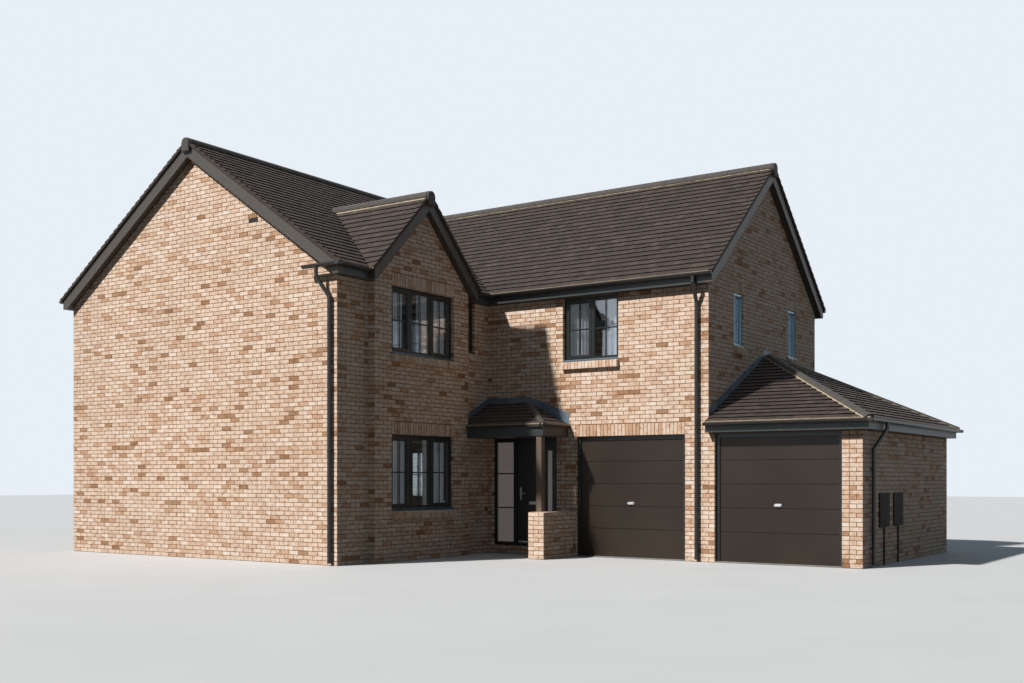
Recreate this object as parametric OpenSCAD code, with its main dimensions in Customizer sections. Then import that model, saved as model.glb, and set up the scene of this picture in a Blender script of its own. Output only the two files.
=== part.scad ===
// Detached two-storey brick house: a deep left wing with a bay, a lower right range at right angles
// to it, and an attached garage. X runs along the front, Y towards the back, Z up from the ground.
// Its origin is at ground level, below the middle of the whole outline.

/* [Left wing] */
// Width of the left wing across its front gable
wing_w = 7200; // [6600:75:9000]
// Pitch of the left wing's roof in degrees
wing_pitch = 34.5; // [33:0.5:38]

/* [Bay] */
// Brickwork between the wing's front corner and the bay
bay_y = 787.5; // [675:37.5:1012.5]
// Width of the bay
bay_w = 2700; // [2400:75:2775]
// How far the bay stands out from the wing's side
bay_out = 145; // [100:5:250]
// Pitch of the bay's roof in degrees
bay_pitch = 45; // [38:0.5:46]

/* [Right range] */
// Distance from the wing's front back to the range's front
range_y = 4335; // [4260:75:6000]
// Width of the range along the front
range_w = 4750; // [4650:50:6500]
// Depth of the range from front to back
range_d = 5315; // [4800:75:5625]
// Pitch of the range's roof in degrees
range_pitch = 40.5; // [36:0.5:41]

/* [Walls and floors] */
// Thickness of the house's cavity walls
wall_t = 300; // [250:5:350]
// Thickness of the garage's brick walls
garage_wall_t = 215; // [102.5:2.5:300]
// Height of the ground floor above the ground
floor_z = 150; // [100:10:200]
// Height of the garages' floor above the ground
garage_floor_z = 20; // [10:5:60]
// Height of the upper floor above the ground
upper_floor_z = 2625; // [2550:25:2800]
// Thickness of the upper floor
upper_floor_t = 250; // [150:10:290]
// Height of the upper ceiling above the ground
ceiling_z = 4900; // [4890:10:5000]
// Thickness of the upper ceiling
ceiling_t = 100; // [50:10:150]

/* [Roof] */
// Height of the tile edge at the main eaves
eaves_z = 5060; // [5020:20:5400]
// How far the tile edge stands out at the eaves
eaves_out = 200; // [180:10:300]
// How far the tiles stand out at the gables
verge_out = 155; // [120:5:250]
// Thickness of tiles and battens, measured upright
roof_t = 40; // [40:5:75]
// Radius of the rounded ridge tiles
ridge_r = 112; // [100:2:150]
// How far a ridge tile stands above the roof's apex
ridge_rise = 62; // [50:2:80]
// How far the ends of the ridge tiles stand inside the verge
ridge_inset = 10; // [0:5:40]
// Radius of the rounded hip tiles
hip_r = 110; // [80:5:130]
// How far a hip tile stands above the roof's hip
hip_rise = 48; // [35:1:60]

/* [Roof edges] */
// Height of the soffit boards above the ground
soffit_z = 4878; // [4876:2:4900]
// How far the fascia boards stand out from the wall
fascia_out = 150; // [120:5:170]
// Thickness of fascia and barge boards
board_t = 20; // [12:2:30]
// Thickness of the soffit boards
soffit_t = 12; // [8:1:20]
// Upright height of the barge boards
barge_h = 250; // [180:5:280]
// How far the tiles stand out past the barge boards
barge_inset = 22; // [10:2:40]
// Outer radius of the half-round gutters
gutter_r = 57; // [45:1:65]
// Thickness of the gutters
gutter_t = 4; // [3:0.5:6]
// How far the gutter's rim lies below the tile edge
gutter_drop = 5; // [0:1:90]
// Radius of the downpipes
pipe_r = 34; // [25:1:40]
// Gap between a downpipe and the wall
pipe_gap = 24; // [15:1:40]

/* [Garage] */
// Width of garage door 2's opening
garage_door_w = 2260; // [2100:20:2400]
// Height of all door heads above the ground
door_head_z = 2250; // [2175:25:2300]
// Brickwork between garage door 1 and the range's corner
garage_1_pier = 450; // [337.5:37.5:450]
// Brickwork between the range and garage door 2
garage_2_left_pier = 112.5; // [75:12.5:225]
// Brickwork to the right of garage door 2
garage_2_right_pier = 337.5; // [300:37.5:450]
// Height of the garage's tile edge
garage_eaves_z = 2440; // [2420:10:2500]
// Pitch of the garage's roof in degrees
garage_pitch = 26; // [20:0.5:27]
// How far the tile edge stands out at the garage's side
garage_side_out = 193; // [183:10:293]
// Thickness of a garage door
garage_door_t = 42; // [30:2:60]
// Height of a garage door's lowest panel
garage_low_panel_h = 520; // [400:5:540]
// Height of a garage door's other panels
garage_panel_h = 415; // [350:5:450]
// Width and depth of the grooves between panels
panel_groove = 10; // [6:1:16]
// Width of the garage door's frame
garage_frame_w = 70; // [50:5:90]
// Depth of the garage door's frame
garage_frame_d = 90; // [60:5:120]
// How far the garage doors' frames lie inside the wall's face
garage_reveal = 60; // [30:5:100]
// Depth of the garage's front piers
garage_pier_d = 337.5; // [215:2.5:337.5]
// Height of the garage's soffit above its door head
garage_soffit_gap = 14; // [6:2:20]
// Height of the garage door's handle above the ground
garage_handle_z = 1000; // [800:20:1100]

/* [Windows] */
// Height of the ground floor's window sills
ground_sill_z = 900; // [825:75:1050]
// Height of the ground floor's window heads
ground_head_z = 2250; // [2175:25:2300]
// Height of the upper floor's window sills
upper_sill_z = 3675; // [3525:75:3825]
// Height of the upper floor's window heads
upper_head_z = 4875; // [4800:25:4875]
// Sill height of the narrow upper windows
narrow_sill_z = 3900; // [3750:75:4050]
// Width of the bay's windows
bay_window_w = 1800; // [1500:75:1950]
// Width of the two-light windows
two_light_w = 1200; // [975:75:1350]
// Width of the gable's narrow windows
gable_window_w = 450; // [375:37.5:600]
// Distance between the middles of the gable's windows
gable_window_pitch = 2700; // [1800:75:2775]
// Width of the narrow window beside the bay
side_window_w = 337.5; // [300:37.5:375]
// Brickwork between the bay and the narrow window
side_window_gap = 75; // [60:15:120]
// Distance from the wing's side to the front window
front_window_x = 1750; // [1500:50:2250]
// How far windows lie inside the wall's face
reveal = 75; // [50:5:100]
// Width of window frames and mullions
frame_w = 62; // [45:1:75]
// Depth of window frames
frame_d = 70; // [50:5:90]
// Thickness of the glass units
glass_t = 24; // [16:2:30]

/* [Brick dressings] */
// Height of the upright brick courses over openings
soldier_h = 225; // [215:5:230]
// Depth of a brick from face to back
brick_d = 102.5; // [100:2.5:105]
// Height of the brick sills
sill_h = 150; // [110:5:170]
// How far the sills stand out from the wall
sill_out = 45; // [30:5:70]
// How far the sills run past the opening's sides
sill_past = 0; // [0:5:70]
// Fall of a sill's top from back to front
sill_fall = 30; // [15:5:50]

/* [Entrance] */
// Brickwork between the wing's side and the entrance
entry_x = 112.5; // [75:12.5:150]
// Width of the entrance's opening
entry_w = 1500; // [1450:10:1560]
// Width of the door frame's members
door_frame_w = 62; // [50:2:80]
// Width of the sidelight's glass
sidelight_w = 400; // [300:10:450]
// How far the door frame lies inside the wall's face
door_reveal = 75; // [40:5:110]
// Thickness of the front door
door_t = 48; // [44:1:60]
// Gap round the front door
door_gap = 7; // [6:0.5:10]
// Overlap of the frame's stop in front of the door
door_stop = 14; // [10:1:20]
// Thickness of the frame's stop
door_stop_t = 20; // [15:1:25]
// Height of the threshold
threshold_h = 40; // [25:5:60]
// Distance from the door's edge to its handle
handle_inset = 85; // [60:5:140]
// Height of the door's handle above the ground
handle_z = 1170; // [1050:10:1250]
// Width of the letter plate
letter_w = 350; // [250:10:360]
// Height of the letter plate's middle above the ground
letter_z = 990; // [900:10:1040]
// Width of the glass strip in the door
strip_w = 105; // [60:5:130]
// Distance from the glass strip to the door's hinge edge
strip_inset = 95; // [80:5:110]
// Height of the glass strip's lower end above the ground
strip_low_z = 450; // [350:50:800]
// Distance from the glass strip's upper end to the door head
strip_drop = 250; // [200:10:400]

/* [Porch] */
// How far the canopy's fascia stands out from the range
canopy_out = 890; // [850:10:1050]
// Distance from the wing's side to the canopy's end
canopy_w = 1875; // [1870:10:1950]
// How far the canopy's tiles stand past its front fascia
canopy_past = 45; // [30:5:70]
// How far the canopy's tiles stand past its side fascia
canopy_side_past = 38; // [23:5:63]
// Thickness of the canopy's tiles, measured upright
canopy_tile_t = 50; // [40:5:60]
// Pitch of the canopy's roof in degrees
canopy_pitch = 26.5; // [20:0.5:27]
// Height of the canopy's soffit
canopy_soffit_z = 2250; // [2250:5:2300]
// Height of the canopy's fascia
canopy_fascia_h = 165; // [140:5:200]
// Size of the square porch post
post_w = 115; // [90:5:125]
// Height of the low brick wall
low_wall_h = 850; // [600:25:1050]
// Thickness of the low brick wall
low_wall_t = 327.5; // [215:2.5:337.5]
// Distance from the wing's side to the low wall
low_wall_x = 1712.5; // [1700:12.5:1725]
// Length of the low brick wall
low_wall_d = 1125; // [1050:75:1200]

/* [Fittings] */
// Height of the meter boxes above the ground
meter_z = 640; // [450:10:750]
// Width of a meter box
meter_w = 550; // [400:5:560]
// Height of a meter box
meter_h = 580; // [500:10:700]
// How far a meter box stands out from the wall
meter_d = 25; // [20:5:120]
// Distance from the garage's front to the first meter box
meter_y = 850; // [700:5:900]
// Distance between the two meter boxes' front edges
meter_pitch = 810; // [700:5:850]
// Height of the lead flashings above the tiles
lead_h = 150; // [100:5:180]
// Height of the lead flashings above the canopy's tiles
canopy_lead_h = 75; // [50:5:120]
// Thickness of the lead flashings
lead_t = 4; // [2:0.5:6]

/* [Hidden] */
$fn = 48;
far = 30000;
cut = 1;
seat = 0.3;
back_y = range_y + range_d;
garage_w = garage_2_left_pier + garage_door_w + garage_2_right_pier;
garage_x = range_w + garage_w;
gutter_out = fascia_out + seat + 2 * gutter_r;

front_out = verge_out - barge_inset + seat + 2 * gutter_r;
door_1_x = low_wall_x + low_wall_t;
door_1_w = range_w - garage_1_pier - door_1_x;
door_2_x = range_w + garage_2_left_pier;
garage_openings = [[door_1_x, door_1_w], [door_2_x, garage_door_w]];

// The outline's middle is moved to the origin
mid_x = (garage_x - wing_w) / 2;
mid_y = (back_y + gutter_out - front_out) / 2;

// Apexes of the roofs, on the tiles' upper side
wing_half = wing_w / 2 + eaves_out;
wing_x = -wing_w / 2;
wing_rise = wing_half * tan(wing_pitch);
wing_apex = eaves_z + wing_rise;
bay_half = bay_w / 2 + eaves_out;
bay_mid = bay_y + bay_w / 2;
bay_rise = bay_half * tan(bay_pitch);
bay_end = bay_out + verge_out;
bay_valley_x = wing_x + (wing_rise - bay_rise) / tan(wing_pitch);
range_half = range_d / 2 + eaves_out;
range_mid = range_y + range_d / 2;
range_rise = range_half * tan(range_pitch);
range_end = range_w + verge_out;
range_valley_x = wing_x + (wing_rise - range_rise) / tan(wing_pitch);
garage_half = range_d / 2 + eaves_out;
garage_run = garage_w + garage_side_out;
garage_hip_run = min(garage_half, garage_run);
hip_past = 40;
garage_rise = garage_half * tan(garage_pitch);
canopy_run = canopy_out + canopy_past;
canopy_edge_x = canopy_w + canopy_side_past;
canopy_edge_z = canopy_soffit_z + canopy_fascia_h + canopy_tile_t;
canopy_rise = canopy_run * tan(canopy_pitch);

// Window entries: place of the outer lower corner, turn, sill height, width, height, lights
FRONT = 0;
SIDE = 90;
REAR = 180;
bay_window_y = bay_y + (bay_w - bay_window_w) / 2;
side_window_y = bay_y + bay_w + side_window_gap;
rear_wing_x = -wing_w / 4 + two_light_w / 2;
rear_bay_x = -3 * wing_w / 4 + bay_window_w / 2;
ground_h = ground_head_z - ground_sill_z;
upper_h = upper_head_z - upper_sill_z;
narrow_h = upper_head_z - narrow_sill_z;
gable_y = [range_mid - gable_window_pitch / 2, range_mid + gable_window_pitch / 2];
bay_windows = [
    [bay_out, bay_window_y, SIDE, ground_sill_z, bay_window_w, ground_h, 3],
    [bay_out, bay_window_y, SIDE, upper_sill_z, bay_window_w, upper_h, 3]
];
side_windows = [[0, side_window_y, SIDE, narrow_sill_z, side_window_w, narrow_h, 1]];
front_windows = [[front_window_x, range_y, FRONT, upper_sill_z, two_light_w, upper_h, 2]];
gable_windows = [for (y = gable_y)
    [range_w, y - gable_window_w / 2, SIDE, narrow_sill_z, gable_window_w, narrow_h, 1]];
rear_windows = [
    [rear_bay_x, back_y, REAR, ground_sill_z, bay_window_w, ground_h, 3],
    [rear_bay_x, back_y, REAR, upper_sill_z, bay_window_w, upper_h, 3],
    [rear_wing_x, back_y, REAR, ground_sill_z, two_light_w, ground_h, 2],
    [rear_wing_x, back_y, REAR, upper_sill_z, two_light_w, upper_h, 2],
    [front_window_x + two_light_w, back_y, REAR, ground_sill_z, two_light_w, ground_h, 2],
    [front_window_x + two_light_w, back_y, REAR, upper_sill_z, two_light_w, upper_h, 2]
];
soldier_windows = concat(bay_windows, gable_windows, [for (i = [0:4]) rear_windows[i]]);
sill_windows = concat(bay_windows, side_windows, front_windows, gable_windows, rear_windows);

// A gable's band or solid: its profile lies in X and Z, and it runs along Y from 0 to len
module along_y(len) {
    rotate([90, 0, 0]) translate([0, 0, -len]) linear_extrude(len) children();
}

// The same with its profile in Y and Z, running along X from 0 to len
module along_x(len) {
    rotate([90, 0, 90]) linear_extrude(len) children();
}

// Upright prism over a plan outline
module plan_prism(points) {
    translate([0, 0, -cut]) linear_extrude(far) polygon(points);
}

// Profile of tiles and battens over a gable, with its edge's top at height 0
module roof_profile(half, rise) {
    polygon([[-half, 0], [0, rise], [half, 0], [half, -roof_t], [0, rise - roof_t], [-half, -roof_t]]);
}

// Profile of all that lies under a roof plane moved down by a drop
module under_profile(half, rise, drop) {
    polygon([[-half, -drop], [0, rise - drop], [half, -drop], [half, -eaves_z], [-half, -eaves_z]]);
}

// All that lies under the wing's roof, moved down by a drop
module wing_under(drop) {
    translate([wing_x, -verge_out, eaves_z])
        along_y(back_y + 2 * verge_out) under_profile(wing_half, wing_rise, drop);
}

module bay_under(drop) {
    translate([bay_valley_x, bay_mid, eaves_z])
        along_x(bay_end - bay_valley_x) under_profile(bay_half, bay_rise, drop);
}

module range_under(drop) {
    translate([range_valley_x, range_mid, eaves_z])
        along_x(range_end - range_valley_x) under_profile(range_half, range_rise, drop);
}

// All that lies under the garage's half pyramid, moved down by a drop
module garage_under(drop) {
    intersection() {
        translate([range_w, range_mid, garage_eaves_z]) along_x(garage_run)
            polygon([[-garage_half, -drop], [0, garage_rise - drop], [garage_half, -drop],
                [garage_half, -garage_eaves_z], [-garage_half, -garage_eaves_z]]);
        translate([range_w, range_mid - garage_half, garage_eaves_z]) along_y(2 * garage_half)
            polygon([[0, garage_run * tan(garage_pitch) - drop], [garage_run, -drop],
                [garage_run, -garage_eaves_z], [0, -garage_eaves_z]]);
    }
}

// All that lies under the canopy's tiles and above a level
module canopy_under(drop, low) {
    intersection() {
        translate([0, range_y - canopy_run, canopy_edge_z]) along_x(canopy_edge_x)
            polygon([[0, -drop], [canopy_run, canopy_rise - drop], [canopy_run, low - canopy_edge_z],
                [0, low - canopy_edge_z]]);
        translate([0, range_y - canopy_run, canopy_edge_z]) along_y(canopy_run)
            polygon([[0, canopy_edge_x * tan(canopy_pitch) - drop], [canopy_edge_x, -drop],
                [canopy_edge_x, low - canopy_edge_z], [0, low - canopy_edge_z]]);
    }
}

// Plan outlines of the bay's and the range's roofs, which end at their valleys
bay_plan = [[bay_valley_x, bay_mid], [eaves_out, bay_mid - bay_half], [bay_end, bay_mid - bay_half],
    [bay_end, bay_mid + bay_half], [eaves_out, bay_mid + bay_half]];
range_plan = [[range_valley_x, range_mid], [eaves_out, range_mid - range_half],
    [range_end, range_mid - range_half], [range_end, range_mid + range_half],
    [eaves_out, range_mid + range_half]];

// Puts children, drawn with X along the wall and Y into it, at a window's place
module at_window(w) {
    translate([w[0], w[1], w[3]]) rotate([0, 0, w[2]]) children();
}

// Openings through a wall, with room for the sill below each
module window_holes(windows) {
    for (w = windows)
        at_window(w) translate([0, -cut, 0]) {
            cube([w[4], wall_t + 2 * cut, w[5]]);
            translate([0, 0, -sill_h]) cube([w[4], brick_d + cut, sill_h + cut]);
        }
}

// Upright bricks over an opening, flush with the wall's face
module soldiers(windows) {
    for (w = windows)
        at_window(w) translate([0, 0, w[5]]) cube([w[4], brick_d, soldier_h]);
}

// Brick sills with a sloping top, let into the wall
module sills(windows) {
    for (w = windows)
        at_window(w) translate([-sill_past, 0, 0]) along_x(w[4] + 2 * sill_past)
            polygon([[-sill_out, -sill_h], [brick_d, -sill_h], [brick_d, 0], [reveal, 0],
                [-sill_out, -sill_fall]]);
}

module dressings_cut() {
    soldiers(soldier_windows);
    sills(sill_windows);
    garage_soldiers();
}

// Frame and mullions, which fill an opening
module frames(windows) {
    for (w = windows)
        at_window(w) translate([0, reveal, 0]) difference() {
            cube([w[4], frame_d, w[5]]);
            lights(w, frame_d + 2 * cut, -cut);
        }
}

// The openings in a frame, one for each light
module lights(w, depth, start) {
    light_w = (w[4] - frame_w * (w[6] + 1)) / w[6];
    for (i = [0:w[6] - 1])
        translate([frame_w + i * (light_w + frame_w), start, frame_w])
            cube([light_w, depth, w[5] - 2 * frame_w]);
}

module panes(windows) {
    for (w = windows)
        at_window(w) translate([0, reveal, 0]) lights(w, glass_t, (frame_d - glass_t) / 2);
}

module wing_front_wall() {
    color("peru") intersection() {
        translate([-wing_w, 0, 0]) cube([wing_w, wall_t, far]);
        wing_under(roof_t);
    }
}

module wing_left_wall() {
    color("peru") intersection() {
        translate([-wing_w, wall_t, 0]) cube([wall_t, back_y - 2 * wall_t, far]);
        wing_under(roof_t);
    }
}

// The wing's right side in front of and behind the bay
module wing_side_wall() {
    color("peru") difference() {
        intersection() {
            union() {
                translate([-wall_t, wall_t, 0]) cube([wall_t, bay_y - wall_t, far]);
                translate([-wall_t, bay_y + bay_w, 0])
                    cube([wall_t, range_y + wall_t - bay_y - bay_w, far]);
            }
            union() {
                wing_under(roof_t);
                bay_under(roof_t);
            }
        }
        window_holes(side_windows);
        dressings_cut();
    }
}

// The bay's brickwork before its roof and windows are cut
module bay_block() {
    translate([-wall_t, bay_y, 0]) cube([wall_t + bay_out, bay_w, far]);
}

module bay_wall() {
    color("peru") difference() {
        intersection() {
            bay_block();
            union() {
                wing_under(roof_t);
                bay_under(roof_t);
            }
        }
        window_holes(bay_windows);
        translate([-wall_t - cut, bay_window_y, ground_sill_z]) cube([wall_t, bay_window_w, ground_h]);
        translate([-wall_t - cut, bay_window_y, upper_sill_z]) cube([wall_t, bay_window_w, upper_h]);
        dressings_cut();
    }
}

// Brickwork between the openings of the range's front, up to their heads
module range_front_piers() {
    spans = [[0, entry_x], [entry_x + entry_w, door_1_x], [door_1_x + door_1_w, range_w]];
    color("peru") for (span = spans)
        translate([span[0], range_y, 0]) cube([span[1] - span[0], wall_t, door_head_z]);
}

module range_upper_wall() {
    color("peru") difference() {
        intersection() {
            translate([0, range_y, door_head_z]) cube([range_w, wall_t, far]);
            range_under(roof_t);
        }
        window_holes(front_windows);
        dressings_cut();
    }
}

module range_gable_wall() {
    color("peru") difference() {
        intersection() {
            translate([range_w - wall_t, range_y + wall_t, 0])
                cube([wall_t, range_d - 2 * wall_t, far]);
            range_under(roof_t);
        }
        window_holes(gable_windows);
        dressings_cut();
    }
}

module rear_wall() {
    color("peru") difference() {
        intersection() {
            translate([-wing_w, back_y - wall_t, 0]) cube([wing_w + range_w, wall_t, far]);
            union() {
                wing_under(roof_t);
                range_under(roof_t);
            }
        }
        window_holes(rear_windows);
        dressings_cut();
    }
}

// Both piers of garage 2 and the beam over its door
module garage_front_wall() {
    color("peru") intersection() {
        translate([range_w, range_y, 0]) difference() {
            cube([garage_w, garage_pier_d, far]);
            translate([garage_2_left_pier, -cut, -cut])
                cube([garage_door_w, far, door_head_z + cut]);
        }
        garage_under(roof_t);
    }
}

module garage_side_wall() {
    color("peru") intersection() {
        translate([garage_x - garage_wall_t, range_y + garage_pier_d, 0])
            cube([garage_wall_t, range_d - garage_pier_d - garage_wall_t, far]);
        garage_under(roof_t);
    }
}

module garage_back_wall() {
    color("peru") intersection() {
        translate([range_w, back_y - garage_wall_t, 0]) cube([garage_w, garage_wall_t, far]);
        garage_under(roof_t);
    }
}

// The low wall that carries the post, and the bricks under the entrance
module porch_wall() {
    color("peru") {
        translate([low_wall_x, range_y - low_wall_d, 0]) cube([low_wall_t, low_wall_d, low_wall_h]);
        translate([entry_x, range_y, 0]) cube([entry_w, wall_t, floor_z]);
    }
}

// House and garage floors on the ground
module ground_floor() {
    color("gray") {
        translate([-wing_w + wall_t, wall_t, 0])
            cube([wing_w - 2 * wall_t, back_y - 2 * wall_t, floor_z]);
        translate([-wall_t, range_y + wall_t, 0])
            cube([door_1_x, range_d - 2 * wall_t, floor_z]);
        translate([-wall_t + door_1_x, range_y + wall_t, 0])
            cube([range_w - door_1_x, range_d - 2 * wall_t, garage_floor_z]);
        translate([door_1_x, range_y, 0]) cube([door_1_w, wall_t, garage_floor_z]);
        translate([range_w, range_y + garage_pier_d, 0])
            cube([garage_w - garage_wall_t, range_d - garage_pier_d - garage_wall_t, garage_floor_z]);
        translate([door_2_x, range_y, 0]) cube([garage_door_w, garage_pier_d, garage_floor_z]);
    }
}

// A floor that fills the house's L inside its walls
module floor_plate(top, thick) {
    translate([0, 0, top - thick]) {
        translate([-wing_w + wall_t, wall_t, 0])
            cube([wing_w - 2 * wall_t, back_y - 2 * wall_t, thick]);
        translate([-wall_t, range_y + wall_t, 0]) cube([range_w, range_d - 2 * wall_t, thick]);
    }
}

module first_floor() {
    color("burlywood") floor_plate(upper_floor_z, upper_floor_t);
}

module loft_floor() {
    color("white") floor_plate(ceiling_z + ceiling_t, ceiling_t);
}

module wing_roof() {
    color("dimgray") difference() {
        translate([wing_x, -verge_out, eaves_z])
            along_y(back_y + 2 * verge_out) roof_profile(wing_half, wing_rise);
        plan_prism(bay_plan);
        plan_prism(range_plan);
    }
}

module bay_roof() {
    color("dimgray") intersection() {
        translate([bay_valley_x, bay_mid, eaves_z])
            along_x(bay_end - bay_valley_x) roof_profile(bay_half, bay_rise);
        plan_prism(bay_plan);
    }
}

module range_roof() {
    color("dimgray") intersection() {
        translate([range_valley_x, range_mid, eaves_z])
            along_x(range_end - range_valley_x) roof_profile(range_half, range_rise);
        plan_prism(range_plan);
    }
}

module garage_roof() {
    color("dimgray") difference() {
        garage_tiles_over();
        garage_under(roof_t);
    }
}

// The garage roof's outer form down to the underside of its tile edge
module garage_tiles_over() {
    intersection() {
        garage_under(0);
        translate([range_w, range_mid - garage_half, garage_eaves_z - roof_t])
            cube([garage_run, 2 * garage_half, far]);
    }
}

module canopy_roof() {
    color("dimgray") difference() {
        canopy_under(0, canopy_edge_z - canopy_tile_t);
        canopy_under(canopy_tile_t, 0);
        bay_block();
    }
}

// Rounded caps along a ridge: a round bar set in the apex, less what the roofs take up
module ridge_bar(len) {
    rotate([-90, 0, 0]) cylinder(r = ridge_r, h = len);
}

module wing_ridge() {
    difference() {
        translate([wing_x, ridge_inset - verge_out, wing_apex + ridge_rise - ridge_r])
            ridge_bar(back_y + 2 * (verge_out - ridge_inset));
        wing_under(0);
    }
}

module bay_ridge() {
    difference() {
        translate([bay_valley_x, bay_mid, eaves_z + bay_rise + ridge_rise - ridge_r])
            rotate([0, 0, -90]) ridge_bar(bay_end - ridge_inset - bay_valley_x);
        bay_under(0);
        wing_under(0);
    }
}

module range_ridge() {
    difference() {
        translate([range_valley_x - ridge_r, range_mid, eaves_z + range_rise + ridge_rise - ridge_r])
            rotate([0, 0, -90]) ridge_bar(range_end - ridge_inset - range_valley_x + ridge_r);
        range_under(0);
        wing_under(0);
        wing_ridge_space();
    }
}

// Keeps the range's ridge clear of the wing's
module wing_ridge_space() {
    translate([-far + wing_x + ridge_r + seat, 0, 0]) cube([far, far, far]);
}

// A round bar along a hip from a corner up to its apex
module hip_bar(corner, apex, r, rise) {
    d = apex - corner;
    run = norm([d[0], d[1]]);
    len = norm(d);
    translate(corner) rotate([0, 0, atan2(d[1], d[0])]) rotate([0, -atan2(d[2], run), 0])
        translate([0, 0, rise - r]) rotate([0, 90, 0]) cylinder(r = r, h = len);
}

// Both hips of the garage, run on past the apex and then cut where they meet
module garage_hips() {
    hip_x = garage_x + garage_side_out;
    run = garage_hip_run + hip_past;
    for (side = [-1, 1])
        difference() {
            intersection() {
                hip_bar([hip_x, range_mid + side * garage_half, garage_eaves_z],
                    [hip_x - run, range_mid + side * (garage_half - run),
                        garage_eaves_z + run * tan(garage_pitch)], hip_r, hip_rise);
                translate([range_w + lead_t + seat, side > 0 ? range_mid : range_mid - garage_half, 0])
                    cube([garage_run - lead_t - seat, garage_half, far]);
            }
            garage_under(0);
        }
}

module canopy_hip() {
    difference() {
        intersection() {
            hip_bar([canopy_edge_x, range_y - canopy_run, canopy_edge_z],
                [canopy_edge_x - canopy_run, range_y, canopy_edge_z + canopy_rise], hip_r, hip_rise);
            translate([0, range_y - canopy_run, 0]) cube([canopy_edge_x, canopy_run - lead_t - seat, far]);
        }
        canopy_under(0, 0);
    }
}

module ridge_tiles() {
    color("saddlebrown") {
        wing_ridge();
        bay_ridge();
        range_ridge();
        garage_hips();
        canopy_hip();
    }
}

// Upright distance from the eaves' height to the lower side of a barge board or of a verge's tiles
function verge_low(half, rise, x, drop) = rise - roof_t - drop - x * rise / half;

// Profile of a gable's barge board, which ends in box feet down to the soffit
module barge_profile(half, rise, upper) {
    low = soffit_z - eaves_z;
    w = half - eaves_out + fascia_out;
    foot = (rise - roof_t - barge_h - low) * half / rise;
    outer = upper < 0
        ? [[-w, verge_low(half, rise, w, 0)], [0, rise - roof_t], [w, verge_low(half, rise, w, 0)]]
        : [[-w, low + upper], [-foot, low + upper], [0, verge_low(half, rise, 0, barge_h) + upper],
            [foot, low + upper], [w, low + upper]];
    polygon(concat(outer, [[w, low], [foot, low], [0, verge_low(half, rise, 0, barge_h)], [-foot, low],
        [-w, low]]));
}

// Barge board, the boarding behind it, and the cheeks of its box feet
module barge(half, rise) {
    depth = verge_out - barge_inset;
    w = half - eaves_out + fascia_out;
    along_y(board_t) barge_profile(half, rise, -1);
    along_y(depth) barge_profile(half, rise, soffit_t);
    along_y(depth) intersection() {
        barge_profile(half, rise, -1);
        for (x = [-w, w - board_t]) translate([x, -far]) square([board_t, 2 * far]);
    }
}

module bargeboards() {
    color("darkslategray") {
        translate([wing_x, barge_inset - verge_out, eaves_z]) barge(wing_half, wing_rise);
        translate([wing_x, back_y + verge_out - barge_inset, eaves_z]) mirror([0, 1, 0])
            barge(wing_half, wing_rise);
        translate([bay_end - barge_inset, bay_mid, eaves_z]) rotate([0, 0, 90])
            barge(bay_half, bay_rise);
        translate([range_end - barge_inset, range_mid, eaves_z]) rotate([0, 0, 90])
            barge(range_half, range_rise);
    }
}

// A board under the tile edge and the soffit behind it, along X from 0 to len
module eaves_box(len, low, soffit_start, soffit_len) {
    translate([0, -fascia_out, low]) cube([len, board_t, far]);
    translate([soffit_start, board_t - fascia_out, low]) cube([soffit_len, fascia_out - board_t, soffit_t]);
}

// Boards of the wing and of the range, before they are cut to the roofs' underside
module house_boards() {
    bay_low_y = bay_y - fascia_out;
    bay_high_y = bay_y + bay_w + fascia_out;
    turn_x = fascia_out - board_t;
    translate([-wing_w, back_y, 0]) rotate([0, 0, -90]) eaves_box(back_y, soffit_z, 0, back_y);
    rotate([0, 0, 90]) eaves_box(bay_low_y, soffit_z, 0, bay_low_y);
    translate([0, bay_high_y, 0]) rotate([0, 0, 90])
        eaves_box(range_y - fascia_out - bay_high_y, soffit_z, 0, range_y - bay_high_y);
    for (y = [bay_low_y, bay_y + bay_w])
        translate([0, y, soffit_z]) cube([min(bay_out, fascia_out), fascia_out, soffit_t]);
    translate([turn_x, range_y, 0])
        eaves_box(range_w - turn_x, soffit_z, 0, range_w - turn_x);
    translate([range_w, back_y, 0]) rotate([0, 0, 180])
        eaves_box(range_w - fascia_out, soffit_z, 0, range_w - fascia_out);
}

module garage_boards() {
    low = door_head_z + garage_soffit_gap;
    translate([range_w, range_y, 0]) eaves_box(garage_w + fascia_out, low, board_t, garage_w - board_t);
    translate([range_w, range_y - fascia_out, low]) cube([board_t, fascia_out, far]);
    translate([garage_x, range_y - fascia_out, 0]) rotate([0, 0, 90])
        eaves_box(range_d + 2 * fascia_out, low, board_t, range_d + 2 * (fascia_out - board_t));
    translate([garage_x + fascia_out, back_y, 0]) rotate([0, 0, 180])
        eaves_box(garage_w + fascia_out, low, fascia_out, garage_w - board_t);
    translate([range_w, back_y, low]) cube([board_t, fascia_out, far]);
}

module canopy_boards() {
    front = range_y - canopy_out;
    translate([0, front, canopy_soffit_z]) cube([canopy_w, board_t, far]);
    translate([canopy_w - board_t, front, canopy_soffit_z]) cube([board_t, canopy_out, far]);
    translate([0, front, canopy_soffit_z]) cube([canopy_w, canopy_out, soffit_t]);
}

module fascias() {
    color("darkslategray") {
        intersection() {
            house_boards();
            union() {
                wing_under(roof_t);
                range_under(roof_t);
            }
        }
        intersection() {
            garage_boards();
            garage_under(roof_t);
        }
        difference() {
            intersection() {
                canopy_boards();
                canopy_under(canopy_tile_t, 0);
            }
            bay_block();
        }
    }
}

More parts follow.
